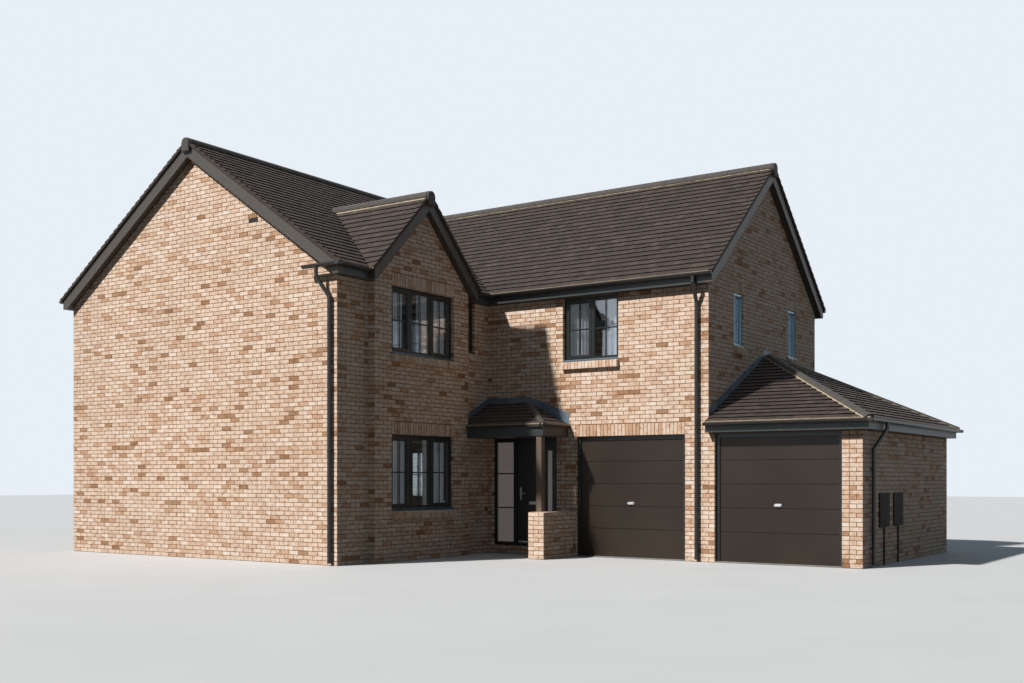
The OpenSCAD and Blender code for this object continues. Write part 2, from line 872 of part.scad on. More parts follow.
// Gutter runs: a point on the fascia's face, the turn, the length and the height of the rim
rim_z = eaves_z - gutter_drop;
garage_rim_z = garage_eaves_z - gutter_drop;
bay_gap = 4;
return_len = 600;
house_runs = [
    [-wing_w - fascia_out, back_y + verge_out, -90, back_y + 2 * verge_out, rim_z],
    [fascia_out, -front_out, 90, bay_mid - bay_half - bay_gap + front_out, rim_z],
    [-return_len, barge_inset - verge_out, 0, return_len + gutter_out, rim_z],
    [fascia_out, bay_mid + bay_half + bay_gap, 90,
        range_y - fascia_out - bay_mid - bay_half - bay_gap, rim_z],
    [fascia_out, range_y - fascia_out, 0, range_end - fascia_out, rim_z],
    [range_end, back_y + fascia_out, 180, range_end - eaves_out - seat, rim_z]
];
garage_runs = [
    [range_w, range_y - fascia_out, 0, garage_w + gutter_out, garage_rim_z],
    [garage_x + fascia_out, range_y - gutter_out, 90, range_d + 2 * gutter_out, garage_rim_z],
    [garage_x + gutter_out, back_y + fascia_out, 180, garage_w + gutter_out, garage_rim_z]
];

// A half-round bar along a gutter run, shortened at both ends
module gutter_bar(run, r, short, top) {
    translate([run[0], run[1], run[4]]) rotate([0, 0, run[2]])
        translate([short, -seat - gutter_r, 0]) along_x(run[3] - 2 * short)
            intersection() {
                circle(r);
                translate([-r, -r]) square([2 * r, r + top]);
            }
}

// Joined gutters with closed ends, open where two runs meet
module gutter_net(runs) {
    difference() {
        for (run = runs) gutter_bar(run, gutter_r, 0, 0);
        for (run = runs) gutter_bar(run, gutter_r - gutter_t, gutter_t, cut);
    }
}

// The tiles and battens of the main roofs, which the gutters pass under
module tile_space() {
    difference() {
        union() {
            wing_under(-seat);
            range_under(-seat);
        }
        wing_under(roof_t + seat);
        range_under(roof_t + seat);
    }
}

module gutters() {
    color("darkslategray") {
        difference() {
            gutter_net(house_runs);
            tile_space();
        }
        difference() {
            gutter_net(garage_runs);
            difference() {
                garage_under(-seat);
                garage_under(roof_t + seat);
            }
        }
    }
}

// A round pipe through a list of points, with a socket at each bend
socket_t = 3;
module pipe(points) {
    for (i = [0:len(points) - 2]) {
        d = points[i + 1] - points[i];
        translate(points[i]) rotate([0, acos(d[2] / norm(d)), atan2(d[1], d[0])])
            cylinder(r = pipe_r, h = norm(d));
        if (i > 0) translate(points[i]) sphere(r = pipe_r + socket_t);
    }
}

// Clips that hold a pipe to its wall, which lies along a turned Y axis
clip_h = 30;
clip_t = 4;
clip_zs = [300, 1900];
upper_clip_z = 3900;
garage_clip_z = 1600;
module clips(x, y, turn, heights) {
    for (z = heights)
        translate([x, y, z]) rotate([0, 0, turn]) {
            cylinder(r = pipe_r + clip_t, h = clip_h);
            translate([-clip_h / 2, 0, 0]) cube([clip_h, pipe_r + pipe_gap, clip_h]);
        }
}

// Downpipe from a gutter outlet through a swan neck to the wall and down to the ground
neck_h = 90;
gable_neck_h = 145;
neck_fall = 340;
pipe_low = 40;
module downpipe(outlet, foot, turn, heights, neck) {
    bend_z = outlet[2] - gutter_r - neck;
    pipe([outlet, [outlet[0], outlet[1], bend_z], [foot[0], foot[1], bend_z - neck_fall],
        [foot[0], foot[1], pipe_low]]);
    clips(foot[0], foot[1], turn, heights);
}

pipe_in = pipe_gap + pipe_r;
gutter_mid = fascia_out + seat + gutter_r;
front_pipe_inset = 205;
front_pipe_x = range_w - front_pipe_inset;
gable_outlet_x = -300;
gable_pipe_x = -125;
garage_outlet_past = 645;
garage_outlet_y = range_y + garage_outlet_past;
garage_pipe_past = 411;
garage_pipe_y = range_y + garage_pipe_past;
rear_pipe_inset = 350;
rear_pipe_x = range_w - rear_pipe_inset;
left_pipe_inset = 300;
left_pipe_y = back_y - left_pipe_inset;
module downpipes() {
    heights = concat(clip_zs, [upper_clip_z]);
    color("darkslategray") difference() {
        union() {
            downpipe([front_pipe_x, range_y - gutter_mid, rim_z], [front_pipe_x, range_y - pipe_in],
                0, heights, neck_h);
            downpipe([gable_outlet_x, gutter_r - front_out, rim_z], [gable_pipe_x, -pipe_in], 0, heights,
                gable_neck_h);
            downpipe([garage_x + gutter_mid, garage_outlet_y, garage_rim_z],
                [garage_x + pipe_in, garage_pipe_y], 90, [clip_zs[0], garage_clip_z], neck_h);
            downpipe([rear_pipe_x, back_y + gutter_mid, rim_z], [rear_pipe_x, back_y + pipe_in],
                180, heights, neck_h);
            downpipe([-wing_w - gutter_mid, left_pipe_y, rim_z], [-wing_w - pipe_in, left_pipe_y],
                -90, heights, neck_h);
        }
        for (run = concat(house_runs, garage_runs)) gutter_bar(run, gutter_r + seat, 0, far);
    }
}

// Lead strips where a lower roof meets a wall
module lead_flashings() {
    half = range_d / 2;
    slope = garage_rise / garage_half;
    edge = garage_rise - half * slope;
    color("slategray") {
        translate([range_w, range_mid, garage_eaves_z + seat]) along_x(lead_t)
            polygon([[-half, edge + lead_h], [0, garage_rise + lead_h], [half, edge + lead_h],
                [half, edge], [0, garage_rise], [-half, edge]]);
        intersection() {
            difference() {
                canopy_under(-canopy_lead_h, 0);
                canopy_under(0, 0);
                bay_block();
            }
            union() {
                translate([0, range_y - lead_t, 0]) cube([canopy_w, lead_t, far]);
                translate([0, range_y - canopy_out, 0]) cube([lead_t, canopy_out, far]);
            }
        }
    }
}

module garage_soldiers() {
    translate([door_1_x, range_y, door_head_z]) cube([door_1_w, brick_d, soldier_h]);
}

module soldier_courses() {
    color("peru") {
        soldiers(soldier_windows);
        garage_soldiers();
    }
}

module window_sills() {
    color("peru") difference() {
        sills(sill_windows);
        window_frames_space();
    }
}

// Keeps the sills clear of the frames
module window_frames_space() {
    for (w = sill_windows)
        at_window(w) translate([0, reveal, 0]) cube([w[4], frame_d, w[5]]);
}

module wing_window_frames() {
    color("darkslategray") frames(concat(bay_windows, side_windows));
}

module front_window_frame() {
    color("darkslategray") frames(front_windows);
}

module gable_window_frames() {
    color("darkslategray") frames(gable_windows);
}

module rear_window_frames() {
    color("darkslategray") frames(rear_windows);
}

module wing_window_glass() {
    color("lightblue") panes(concat(bay_windows, side_windows));
}

module front_window_glass() {
    color("lightblue") panes(front_windows);
}

module gable_window_glass() {
    color("lightblue") panes(gable_windows);
}

module rear_window_glass() {
    color("lightblue") panes(rear_windows);
}

// The entrance: sidelight on the left, door on the right
door_frame_d = door_stop_t + door_gap + door_t;
sidelight_x = entry_x + door_frame_w;
leaf_x = sidelight_x + sidelight_w + door_frame_w + door_gap;
leaf_w = entry_w - 3 * door_frame_w - sidelight_w - 2 * door_gap;
leaf_z = floor_z + threshold_h + door_gap;
leaf_h = door_head_z - door_frame_w - door_gap - leaf_z;
frame_y = range_y + door_reveal;
leaf_y = frame_y + door_stop_t + door_gap;
sidelight_h = door_head_z - floor_z - 2 * door_frame_w;
hinge_r = 8;
hinge_h = 50;
hinge_plate = 30;
hinge_t = 3;
hinge_zs = [leaf_z + 200, leaf_z + leaf_h / 2, leaf_z + leaf_h - 250];
hinge_x = leaf_x + leaf_w + door_gap / 2;
hinge_y = leaf_y + door_t + hinge_r + 1;

module door_frame() {
    color("darkslategray") {
        difference() {
            translate([entry_x, frame_y, floor_z]) cube([entry_w, door_frame_d, door_head_z - floor_z]);
            translate([sidelight_x, frame_y - cut, floor_z + door_frame_w])
                cube([sidelight_w, door_frame_d + 2 * cut, sidelight_h]);
            translate([leaf_x - door_gap, frame_y + door_stop_t, leaf_z - door_gap])
                cube([leaf_w + 2 * door_gap, door_frame_d, leaf_h + 2 * door_gap]);
            translate([leaf_x - door_gap + door_stop, frame_y - cut, leaf_z - door_gap])
                cube([leaf_w + 2 * (door_gap - door_stop), door_frame_d,
                    leaf_h + 2 * door_gap - door_stop]);
        }
        for (z = hinge_zs) hinge_half(z, 1);
    }
}

// One half of a lift-off hinge: the lower is on the frame, the upper on the door
module hinge_half(z, side) {
    translate([hinge_x, hinge_y, side > 0 ? z - hinge_h : z + seat]) {
        cylinder(r = hinge_r, h = hinge_h);
        translate([side > 0 ? 0 : -hinge_plate, -hinge_r - 1, 0]) cube([hinge_plate, hinge_t, hinge_h]);
    }
}

module sidelight_glass() {
    color("lightgray")
        translate([sidelight_x, frame_y + (door_frame_d - glass_t) / 2, floor_z + door_frame_w])
            cube([sidelight_w, glass_t, sidelight_h]);
}

// Glass strip in the door, grown by a margin
module strip(depth, start) {
    translate([leaf_x + leaf_w - strip_inset - strip_w, start, strip_low_z])
        cube([strip_w, depth, door_head_z - strip_drop - strip_low_z]);
}

module front_door() {
    color("darkslategray") difference() {
        translate([leaf_x, leaf_y, leaf_z]) cube([leaf_w, door_t, leaf_h]);
        strip(door_t + 2 * cut, leaf_y - cut);
    }
}

module front_door_glass() {
    color("lightgray") strip(glass_t, leaf_y + (door_t - glass_t) / 2);
}

plate_w = 34;
plate_h = 240;
plate_t = 8;
lever_r = 9;
lever_out = 50;
lever_len = 120;
letter_h = 60;
letter_t = 10;

// Back plate and lever, drawn on the face at y = 0 and standing out towards -Y
module lever() {
    translate([-plate_w / 2, -plate_t, -plate_h / 2]) cube([plate_w, plate_t, plate_h]);
    rotate([90, 0, 0]) cylinder(r = lever_r, h = lever_out);
    translate([0, -lever_out, 0]) sphere(r = lever_r);
    translate([0, -lever_out, 0]) rotate([0, 90, 0]) cylinder(r = lever_r, h = lever_len);
}

module door_furniture() {
    color("silver") {
        translate([leaf_x + handle_inset, leaf_y, handle_z]) lever();
        translate([leaf_x + handle_inset, leaf_y + door_t, handle_z]) mirror([0, 1, 0]) lever();
        translate([leaf_x + leaf_w / 2 - letter_w / 2, leaf_y - letter_t, letter_z - letter_h / 2])
            cube([letter_w, letter_t, letter_h]);
        for (z = hinge_zs) hinge_half(z, -1);
    }
}

garage_frame_y = range_y + garage_reveal;
garage_leaf_h = door_head_z - garage_frame_w - garage_floor_z;
garage_leaf_y = garage_frame_y + (garage_frame_d - garage_door_t) / 2;

module garage_door_frames() {
    color("darkslategray") for (opening = garage_openings)
        difference() {
            translate([opening[0], garage_frame_y, garage_floor_z])
                cube([opening[1], garage_frame_d, door_head_z - garage_floor_z]);
            translate([opening[0] + garage_frame_w, garage_frame_y - cut, garage_floor_z - cut])
                cube([opening[1] - 2 * garage_frame_w, garage_frame_d + 2 * cut, garage_leaf_h + cut]);
        }
}

// A pull handle, drawn on the face at y = 0 and standing out towards -Y
garage_grip_w = 110;
garage_grip_t = 16;
garage_grip_out = 34;
module garage_grip() {
    for (x = [0, garage_grip_w - garage_grip_t])
        translate([x, -garage_grip_out, 0]) cube([garage_grip_t, garage_grip_out, garage_grip_t]);
    translate([0, -garage_grip_out, 0]) cube([garage_grip_w, garage_grip_t / 2, garage_grip_t]);
}

module garage_doors() {
    for (opening = garage_openings) {
        leaf = opening[1] - 2 * garage_frame_w;
        translate([opening[0] + garage_frame_w, garage_leaf_y, 0]) {
            color("darkslategray") difference() {
                translate([0, 0, garage_floor_z]) cube([leaf, garage_door_t, garage_leaf_h]);
                for (z = [garage_low_panel_h:garage_panel_h:garage_leaf_h - garage_panel_h / 2])
                    translate([-cut, -panel_groove, garage_floor_z + z - panel_groove / 2])
                        cube([leaf + 2 * cut, 2 * panel_groove, panel_groove]);
            }
            color("silver") translate([(leaf - garage_grip_w) / 2, 0, garage_handle_z]) garage_grip();
        }
    }
}

// Meter boxes on the garage's side, each with a cover strip down to the ground
strip_cover_w = 60;
strip_cover_d = 20;
module meter_boxes() {
    color("saddlebrown") for (y = [meter_y, meter_y + meter_pitch]) {
        translate([garage_x, range_y + y, meter_z]) cube([meter_d, meter_w, meter_h]);
        translate([garage_x, range_y + y + (meter_w - strip_cover_w) / 2, 0])
            cube([strip_cover_d, strip_cover_w, meter_z]);
    }
}

module porch_post() {
    color("darkslategray") translate([low_wall_x, range_y - canopy_out + board_t, low_wall_h])
        cube([post_w, post_w, canopy_soffit_z - low_wall_h]);
}

module placed() {
    translate([-mid_x, -mid_y, 0]) children();
}

placed() wing_front_wall();
placed() wing_left_wall();
placed() wing_side_wall();
placed() bay_wall();
placed() range_front_piers();
placed() range_upper_wall();
placed() range_gable_wall();
placed() rear_wall();
placed() garage_front_wall();
placed() garage_side_wall();
placed() garage_back_wall();
placed() porch_wall();
placed() ground_floor();
placed() first_floor();
placed() loft_floor();
placed() wing_roof();
placed() bay_roof();
placed() range_roof();
placed() garage_roof();
placed() canopy_roof();
placed() ridge_tiles();
placed() bargeboards();
placed() fascias();
placed() gutters();
placed() downpipes();
placed() lead_flashings();
placed() soldier_courses();
placed() window_sills();
placed() wing_window_frames();
placed() front_window_frame();
placed() gable_window_frames();
placed() rear_window_frames();
placed() wing_window_glass();
placed() front_window_glass();
placed() gable_window_glass();
placed() rear_window_glass();
placed() door_frame();
placed() sidelight_glass();
placed() front_door();
placed() front_door_glass();
placed() door_furniture();
placed() garage_door_frames();
placed() garage_doors();
placed() meter_boxes();
placed() porch_post();
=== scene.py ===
import random
from math import ceil, cos, pi, radians, sin, tan

import bpy
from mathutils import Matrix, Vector


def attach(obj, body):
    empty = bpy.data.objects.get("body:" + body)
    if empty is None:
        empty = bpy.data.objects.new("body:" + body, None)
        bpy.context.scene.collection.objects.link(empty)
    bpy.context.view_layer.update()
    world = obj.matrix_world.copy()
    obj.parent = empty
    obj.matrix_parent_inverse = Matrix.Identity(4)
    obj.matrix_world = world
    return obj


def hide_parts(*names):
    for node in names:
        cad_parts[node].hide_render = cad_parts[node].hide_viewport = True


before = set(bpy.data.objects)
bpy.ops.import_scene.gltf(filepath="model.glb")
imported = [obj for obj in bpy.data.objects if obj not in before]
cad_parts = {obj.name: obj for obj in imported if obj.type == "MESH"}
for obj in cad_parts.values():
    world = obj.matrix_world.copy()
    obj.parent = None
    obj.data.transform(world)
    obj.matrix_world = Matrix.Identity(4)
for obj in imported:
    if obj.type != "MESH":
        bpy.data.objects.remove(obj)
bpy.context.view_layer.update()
random.seed(7)
scene = bpy.context.scene

# Lengths are in metres. Places are in the site's frame: X and Y from the wing's front right corner, Z from the ground
MID_X, MID_Y = 0.130, 4.8335
COURSE, BRICK, JOINT, SLIVER = 0.075, 0.225, 0.010, 0.06
PROUD, EDGE, SUNK = 0.003, 0.0018, 0.002
SOFFIT = 4.878
EAVES, EAVES_OUT, VERGE = 5.060, 0.200, 0.155
BARGE_LOW = 0.290
WING_W, WING_D = 7.2, 9.65
BAY_Y, BAY_W, BAY_OUT = 0.7875, 2.7, 0.145
RANGE_Y, RANGE_W, RANGE_D = 4.335, 4.75, 5.315
GARAGE_X, GARAGE_EAVES, GARAGE_SIDE_OUT = 7.46, 2.440, 0.193
BACK = RANGE_Y + RANGE_D
BAY_MID = BAY_Y + BAY_W / 2
RANGE_MID = RANGE_Y + RANGE_D / 2
HEAD_1, HEAD_2 = 2.25, 4.875
LOW_SILL, HIGH_SILL, SMALL_SILL = 0.9, 3.675, 3.9
REVEAL, DOOR_REVEAL, FRAME_W = 0.075, 0.060, 0.062
SILL_H, SILL_OUT, SILL_FALL, SILL_NOSE = 0.150, 0.045, 0.030, 0.033
PITCH_WING, PITCH_BAY, PITCH_RANGE = (radians(a) for a in (34.5, 45.0, 40.5))
PITCH_GARAGE, PITCH_CANOPY = radians(26.0), radians(26.5)
GAUGE, TILE_W, TILE_GAP, TILE_SUNK, UNDERCUT = 0.160, 0.167, 0.0035, 0.003, 0.018
# Courses up to the eaves, past every gable's top and up to the garage's eaves
EAVES_ROWS, GABLE_ROWS, GARAGE_ROWS = 65, 110, 30
SLACK, TINY = 0.001, 1e-6

# Half of what each roof spans with its eaves, and how far it rises. The garage's roof spans as much as the range's
WING_HALF, BAY_HALF, RANGE_HALF = (w / 2 + EAVES_OUT for w in (WING_W, BAY_W, RANGE_D))
WING_RISE, BAY_RISE = WING_HALF * tan(PITCH_WING), BAY_HALF * tan(PITCH_BAY)
RANGE_RISE, GARAGE_RISE = RANGE_HALF * tan(PITCH_RANGE), RANGE_HALF * tan(PITCH_GARAGE)

# Directions along the front, side, rear and left walls, to the right as each is seen from outside
FRONT, SIDE, REAR, LEFT, UP = (Vector(v) for v in ((1, 0, 0), (0, 1, 0), (-1, 0, 0), (0, -1, 0), (0, 0, 1)))

# Faces of a block whose corners are counted round its back and then round its front
BLOCK = [(3, 2, 1, 0), (4, 5, 6, 7), (0, 1, 5, 4), (1, 2, 6, 5), (2, 3, 7, 6), (3, 0, 4, 7)]


# ---------------- meshes
class Net:
    """Faces of one piece, each with a tint that its material reads, in a frame of its own axes."""

    def __init__(self, origin=(0, 0, 0), u=FRONT, v=SIDE):
        self.verts, self.faces, self.tints, self.slots = [], [], [], []
        self.place(origin, u, v)

    def place(self, origin, u, v):
        self.o, self.u, self.v = Vector(origin), Vector(u), Vector(v)
        self.n = self.u.cross(self.v)

    def follow(self, origin, d, up):
        """Axes of a ridge or hip: u along it, v across it and n up from it."""
        self.place(origin, d, d.cross(up).normalized())
        self.n = up

    def add(self, points, faces, tint=0.0, slot=0):
        base = len(self.verts)
        for a, b, c in points:
            p = self.o + self.u * a + self.v * b + self.n * c
            self.verts.append((p[0] - MID_X, p[1] - MID_Y, p[2]))
        self.faces += [[base + i for i in f] for f in faces]
        self.tints += [tint] * len(faces)
        self.slots += [slot] * len(faces)

    def box(self, lo, hi):
        pts = [(x, y, z) for z in (lo[2], hi[2]) for y in (lo[1], hi[1]) for x in (lo[0], hi[0])]
        self.add(pts, [(0, 2, 3, 1), (4, 5, 7, 6), (0, 1, 5, 4), (2, 6, 7, 3), (0, 4, 6, 2), (1, 3, 7, 5)])

    def bevelled(self, lo, hi, b=0.003):
        (x0, y0, z0), (x1, y1, z1) = lo, hi
        pts = []
        for z, inset in ((z0, b), (z0 + b, 0), (z1 - b, 0), (z1, b)):
            pts += [(x0 + inset, y0 + inset, z), (x1 - inset, y0 + inset, z),
                    (x1 - inset, y1 - inset, z), (x0 + inset, y1 - inset, z)]
        faces = [(3, 2, 1, 0), (12, 13, 14, 15)]
        for r in (0, 4, 8):
            for i in range(4):
                j = (i + 1) % 4
                faces.append((r + i, r + j, r + 4 + j, r + 4 + i))
        self.add(pts, faces)

    def ring(self, lo, hi, back, front, bars, tuck=0.0):
        """Four bars round a rectangle. bars has the left, right, low and high one's width; tuck is their overlap."""
        (x0, y0), (x1, y1), (left, right, low, high) = lo, hi, bars
        a, b = x0 + left - tuck, x1 - right + tuck
        for p, q in (((x0, y0), (x0 + left, y1)), ((x1 - right, y0), (x1, y1)),
                     ((a, y0), (b, y0 + low)), ((a, y1 - high), (b, y1))):
            self.bevelled((*p, back), (*q, front))

    def prism(self, profile, u0, u1, tint=0.0):
        """profile, counted anticlockwise in (v, n) as seen from +u, run along u."""
        k = len(profile)
        pts = [(u, b, c) for u in (u0, u1) for b, c in profile]
        faces = [tuple(reversed(range(k))), tuple(range(k, 2 * k))]
        faces += [(i, (i + 1) % k, k + (i + 1) % k, k + i) for i in range(k)]
        self.add(pts, faces, tint)

    def piece(self, name, materials, slot, body="house", smooth=None):
        mesh = bpy.data.meshes.new(name)
        mesh.from_pydata(self.verts, [], self.faces)
        for m in materials:
            mesh.materials.append(m)
        mesh.polygons.foreach_set("material_index", self.slots)
        tint = mesh.attributes.new("tint", "FLOAT", "FACE")
        tint.data.foreach_set("value", self.tints)
        mesh.validate()
        obj = bpy.data.objects.new(name, mesh)
        scene.collection.objects.link(obj)
        if smooth is not None:
            mesh.shade_smooth()
            mesh.set_sharp_from_angle(angle=radians(smooth))
        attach(obj, body)
        return obj


def merged(*nets):
    """Several nets as one, so that a piece holds them all."""
    out = Net()
    for n in nets:
        base = len(out.verts)
        out.verts += n.verts
        out.faces += [[base + i for i in f] for f in n.faces]
        out.tints += n.tints
        out.slots += n.slots
    return out


def subtract(spans, lo, hi):
    """The spans less what lies between lo and hi."""
    return [p for a, b in spans for p in ((a, min(b, lo)), (max(a, hi), b)) if p[0] < p[1]]


def clip(poly, a, b, c):
    """The part of a convex polygon with a * x + b * y <= c."""
    out = []
    for i, p in enumerate(poly):
        q = poly[(i + 1) % len(poly)]
        dp, dq = a * p[0] + b * p[1] - c, a * q[0] + b * q[1] - c
        if dp <= 0:
            out.append(p)
        if (dp < 0 < dq) or (dq < 0 < dp):
            t = dp / (dp - dq)
            out.append((p[0] + t * (q[0] - p[0]), p[1] + t * (q[1] - p[1])))
    return out


def clip_to(poly, region):
    """The part of a convex polygon inside a convex region with anticlockwise corners."""
    for i, p in enumerate(region):
        q = region[(i + 1) % len(region)]
        a, b = q[1] - p[1], p[0] - q[0]
        poly = clip(poly, a, b, a * p[0] + b * p[1])
        if len(poly) < 3:
            return []
    return poly


def area(poly):
    return abs(sum(p[0] * q[1] - q[0] * p[1] for p, q in zip(poly, poly[1:] + poly[:1]))) / 2


# ---------------- bricks
BRICK_FACES = [(0, 1, 5, 4), (1, 2, 6, 5), (2, 3, 7, 6), (3, 0, 4, 7),
               (4, 5, 9, 8), (5, 6, 10, 9), (6, 7, 11, 10), (7, 4, 8, 11), (8, 9, 10, 11)]


def brick_tint():
    """0 to 0.55 for the cream bricks, then some tan ones and a few brown ones."""
    r = random.random()
    if r < 0.86:
        return random.random() * 0.55
    if r < 0.955:
        return 0.56 + random.random() * 0.16
    return 0.76 + random.random() * 0.24


def brick(net, u0, u1, v0, v1, tint=None):
    if u1 - u0 < 0.012 or v1 - v0 < 0.008:
        return
    h = PROUD + random.uniform(-0.0006, 0.0006)
    tilt = random.uniform(-0.0004, 0.0004)
    j = [random.uniform(-0.0009, 0.0009) for _ in range(4)]
    u0, u1, v0, v1 = u0 + j[0], u1 + j[1], v0 + j[2], v1 + j[3]
    rim = [(u0, v0), (u1, v0), (u1, v1), (u0, v1)]
    top = [(u0 + EDGE, v0 + EDGE), (u1 - EDGE, v0 + EDGE), (u1 - EDGE, v1 - EDGE), (u0 + EDGE, v1 - EDGE)]
    pts = [(a, b, z) for z in (-SUNK, h - EDGE) for a, b in rim]
    pts += [(a, b, h + (tilt if k > 1 else -tilt)) for k, (a, b) in enumerate(top)]
    net.add(pts, BRICK_FACES, brick_tint() if tint is None else tint)


def course(k):
    """The lower and the upper edge of the bricks in course k."""
    return k * COURSE + JOINT / 2, (k + 1) * COURSE - JOINT / 2


def lay_row(net, k, spans, length, phase=0):
    """One course of stretcher bond over a wall of a length, kept to the spans that are open to view."""
    n = round((length + JOINT) / (BRICK / 2)) / 2
    module = (length + JOINT) / n
    start = -module / 2 if (k + phase) % 2 else 0.0
    for a, b in spans:
        cells = [[max(start + i * module, a), min(start + (i + 1) * module - JOINT, b)]
                 for i in range(ceil((b - start) / module))]
        cells = [c for c in cells if c[1] - c[0] > 0.004]
        # A sliver at either end and the brick beside it share their length
        for end, left in ((0, 0), (-1, -2)):
            if len(cells) > 1 and cells[end][1] - cells[end][0] < SLIVER:
                mid = (cells[left][0] + cells[left + 1][1]) / 2
                cells[left][1], cells[left + 1][0] = mid - JOINT / 2, mid + JOINT / 2
        for u0, u1 in cells:
            brick(net, u0, u1, *course(k))


def wall(origin, along, length, rows, openings=(), limits=None, phase=0, low=0):
    """Brick faces over a CAD wall, whose own face shows as the mortar between them."""
    net = Net(origin, along, UP)
    for k in range(low, rows):
        z0, z1 = k * COURSE, (k + 1) * COURSE
        spans = limits(z0, z1) if limits else [(0.0, length)]
        for w in openings:
            if z0 < w.gap[1] - SLACK and z1 > w.gap[0] + SLACK:
                spans = subtract(spans, w.u0, w.u1)
        lay_row(net, k, spans, length, phase)
    return net


class Opening:
    """A window, door or vent in a wall. u is its left end seen from outside, over the height of the soldiers above
    it, under that of the brick sill, gap the two heights without stretchers, depth how far back its frame stands."""

    def __init__(self, origin, along, u, width, sill, head, over=0.0, under=SILL_H, depth=REVEAL):
        self.origin, self.along, self.inward = Vector(origin), along, -along.cross(UP)
        self.u0, self.u1, self.width, self.sill, self.head = u, u + width, width, sill, head
        self.over, self.depth = over, depth
        self.gap = sill - under, head + over


def jambs(net, w):
    """Brick ends on both sides of an opening, from the wall's face back to the frame."""
    left, right = w.origin + w.along * w.u0, w.origin + w.along * w.u1 + w.inward * w.depth
    for start, way, a0, a1 in ((left, w.inward, 0.0, w.depth - 0.004), (right, -w.inward, 0.004, w.depth)):
        net.place(start, way, UP)
        for k in range(round(w.sill / COURSE), round(w.head / COURSE)):
            brick(net, a0, a1, *course(k))


def across(w):
    """Both edges of each of the bricks that stand side by side across an opening."""
    n = round((w.u1 - w.u0) / COURSE - TINY)
    pitch = (w.u1 - w.u0) / n
    return [[w.u0 + i * pitch + JOINT / 2, w.u0 + (i + 1) * pitch - JOINT / 2] for i in range(n)]


def soldiers(net, w):
    """Upright bricks over an opening, with their ends shown underneath."""
    for lo, hi in across(w):
        tint = random.random() * 0.72
        net.place(w.origin, w.along, UP)
        brick(net, lo, hi, w.head + 0.003, w.head + BRICK - JOINT, tint)
        net.place(w.origin + UP * w.head + w.inward * w.depth, w.along, -w.inward)
        brick(net, lo, hi, 0.0, w.depth - 0.002, tint)


def brick_sill(net, w):
    """Brick-on-edge sill: each brick follows the sloping CAD sill and stands a little proud of it."""
    net.place(w.origin, w.along, UP)
    z, out = w.sill, SILL_OUT + SILL_NOSE
    low, top = z - SILL_H - PROUD, z - SILL_FALL + PROUD
    profile = [(low, 0.0), (low, out - 0.003), (low + 0.003, out), (top - 0.006, out), (top, out - 0.006),
               (z + PROUD, -REVEAL), (z - 0.05, -REVEAL)]
    edges = across(w)
    edges[0][0], edges[-1][1] = w.u0 - 0.002, w.u1 + 0.002
    for lo, hi in edges:
        net.prism(profile[::-1], lo, hi, random.random() * 0.68)


# ---------------- roofs
# Tint for the tiles' butts and the verge caps' lower ends, which the tile material paints dark as shade
BUTT_SHADE_TINT = 1.0
RIDGE_TILE, BED_STEP = 0.45, 0.06


def tiles(net, region, hold=0.021):
    """Courses of flat interlocking tiles over a convex region of (u, slope) points."""
    us, top_s = [p[0] for p in region], max(p[1] for p in region)
    slope = (hold - TILE_SUNK) / GAUGE
    k = 0
    while k * GAUGE < top_s - 0.01:
        s0, s1 = k * GAUGE, min((k + 1) * GAUGE, top_s)
        shift = TILE_W / 2 if k % 2 else 0.0
        under = UNDERCUT if k else -(hold + TILE_SUNK) * net.v.z / net.n.z
        i = -ceil((shift - min(us)) / TILE_W)
        while shift + i * TILE_W < max(us):
            u0, u1 = shift + i * TILE_W + TILE_GAP / 2, shift + (i + 1) * TILE_W - TILE_GAP / 2
            i += 1
            poly = clip_to([(u0, s0), (u1, s0), (u1, s1), (u0, s1)], region)
            if len(poly) < 3 or area(poly) < 0.0006:
                continue
            tint = random.random() * 0.9
            lift = random.uniform(-0.0015, 0.0015)
            key = [(u, s, hold + lift - (s - s0) * slope) for u, s in poly]
            foot, head = [abs(s - s0) < TINY for u, s in poly], [abs(s - s1) < TINY for u, s in poly]
            m = len(key)
            pts = key + [(u, s + (under if low else 0.0), -TILE_SUNK) for (u, s), low in zip(poly, foot)]
            sides, butts = [tuple(range(m))], []
            for e in range(m):
                f = (e + 1) % m
                if not (head[e] and head[f]):
                    (butts if foot[e] and foot[f] else sides).append((m + e, m + f, f, e))
            net.add(pts, sides, tint)
            # Butts get the painted-shade tint; the eaves course's butts take the eaves mortar instead
            if butts:
                net.add(pts, butts, BUTT_SHADE_TINT, 0 if k else 1)
        k += 1


def verge_caps(net, u_edge, side, slope_len):
    """A cap on each course's end, which laps over the roof's edge and steps with the tiles."""
    inner, outer = u_edge - side * 0.055, u_edge + side * 0.012
    lo, hi = min(inner, outer), max(inner, outer)
    h0, h1, low = 0.034, 0.012, -0.031
    k = 0
    while k * GAUGE < slope_len - 0.05:
        s0, s1 = k * GAUGE - 0.006, min((k + 1) * GAUGE, slope_len)
        pts = [(lo, s0, low), (hi, s0, low), (hi, s1, low), (lo, s1, low),
               (lo, s0, h0), (hi, s0, h0), (hi, s1, h1), (lo, s1, h1)]
        net.add(pts, BLOCK[:2] + BLOCK[3:], random.random() * 0.9)
        # The cap's lower end gets the painted-shade tint
        net.add(pts, BLOCK[2:3], BUTT_SHADE_TINT)
        k += 1


def slope_net(origin, u, pitch):
    """A roof plane: u along its eaves, v up its slope, n out of it."""
    return Net(origin, u, UP.cross(u) * cos(pitch) + UP * sin(pitch))


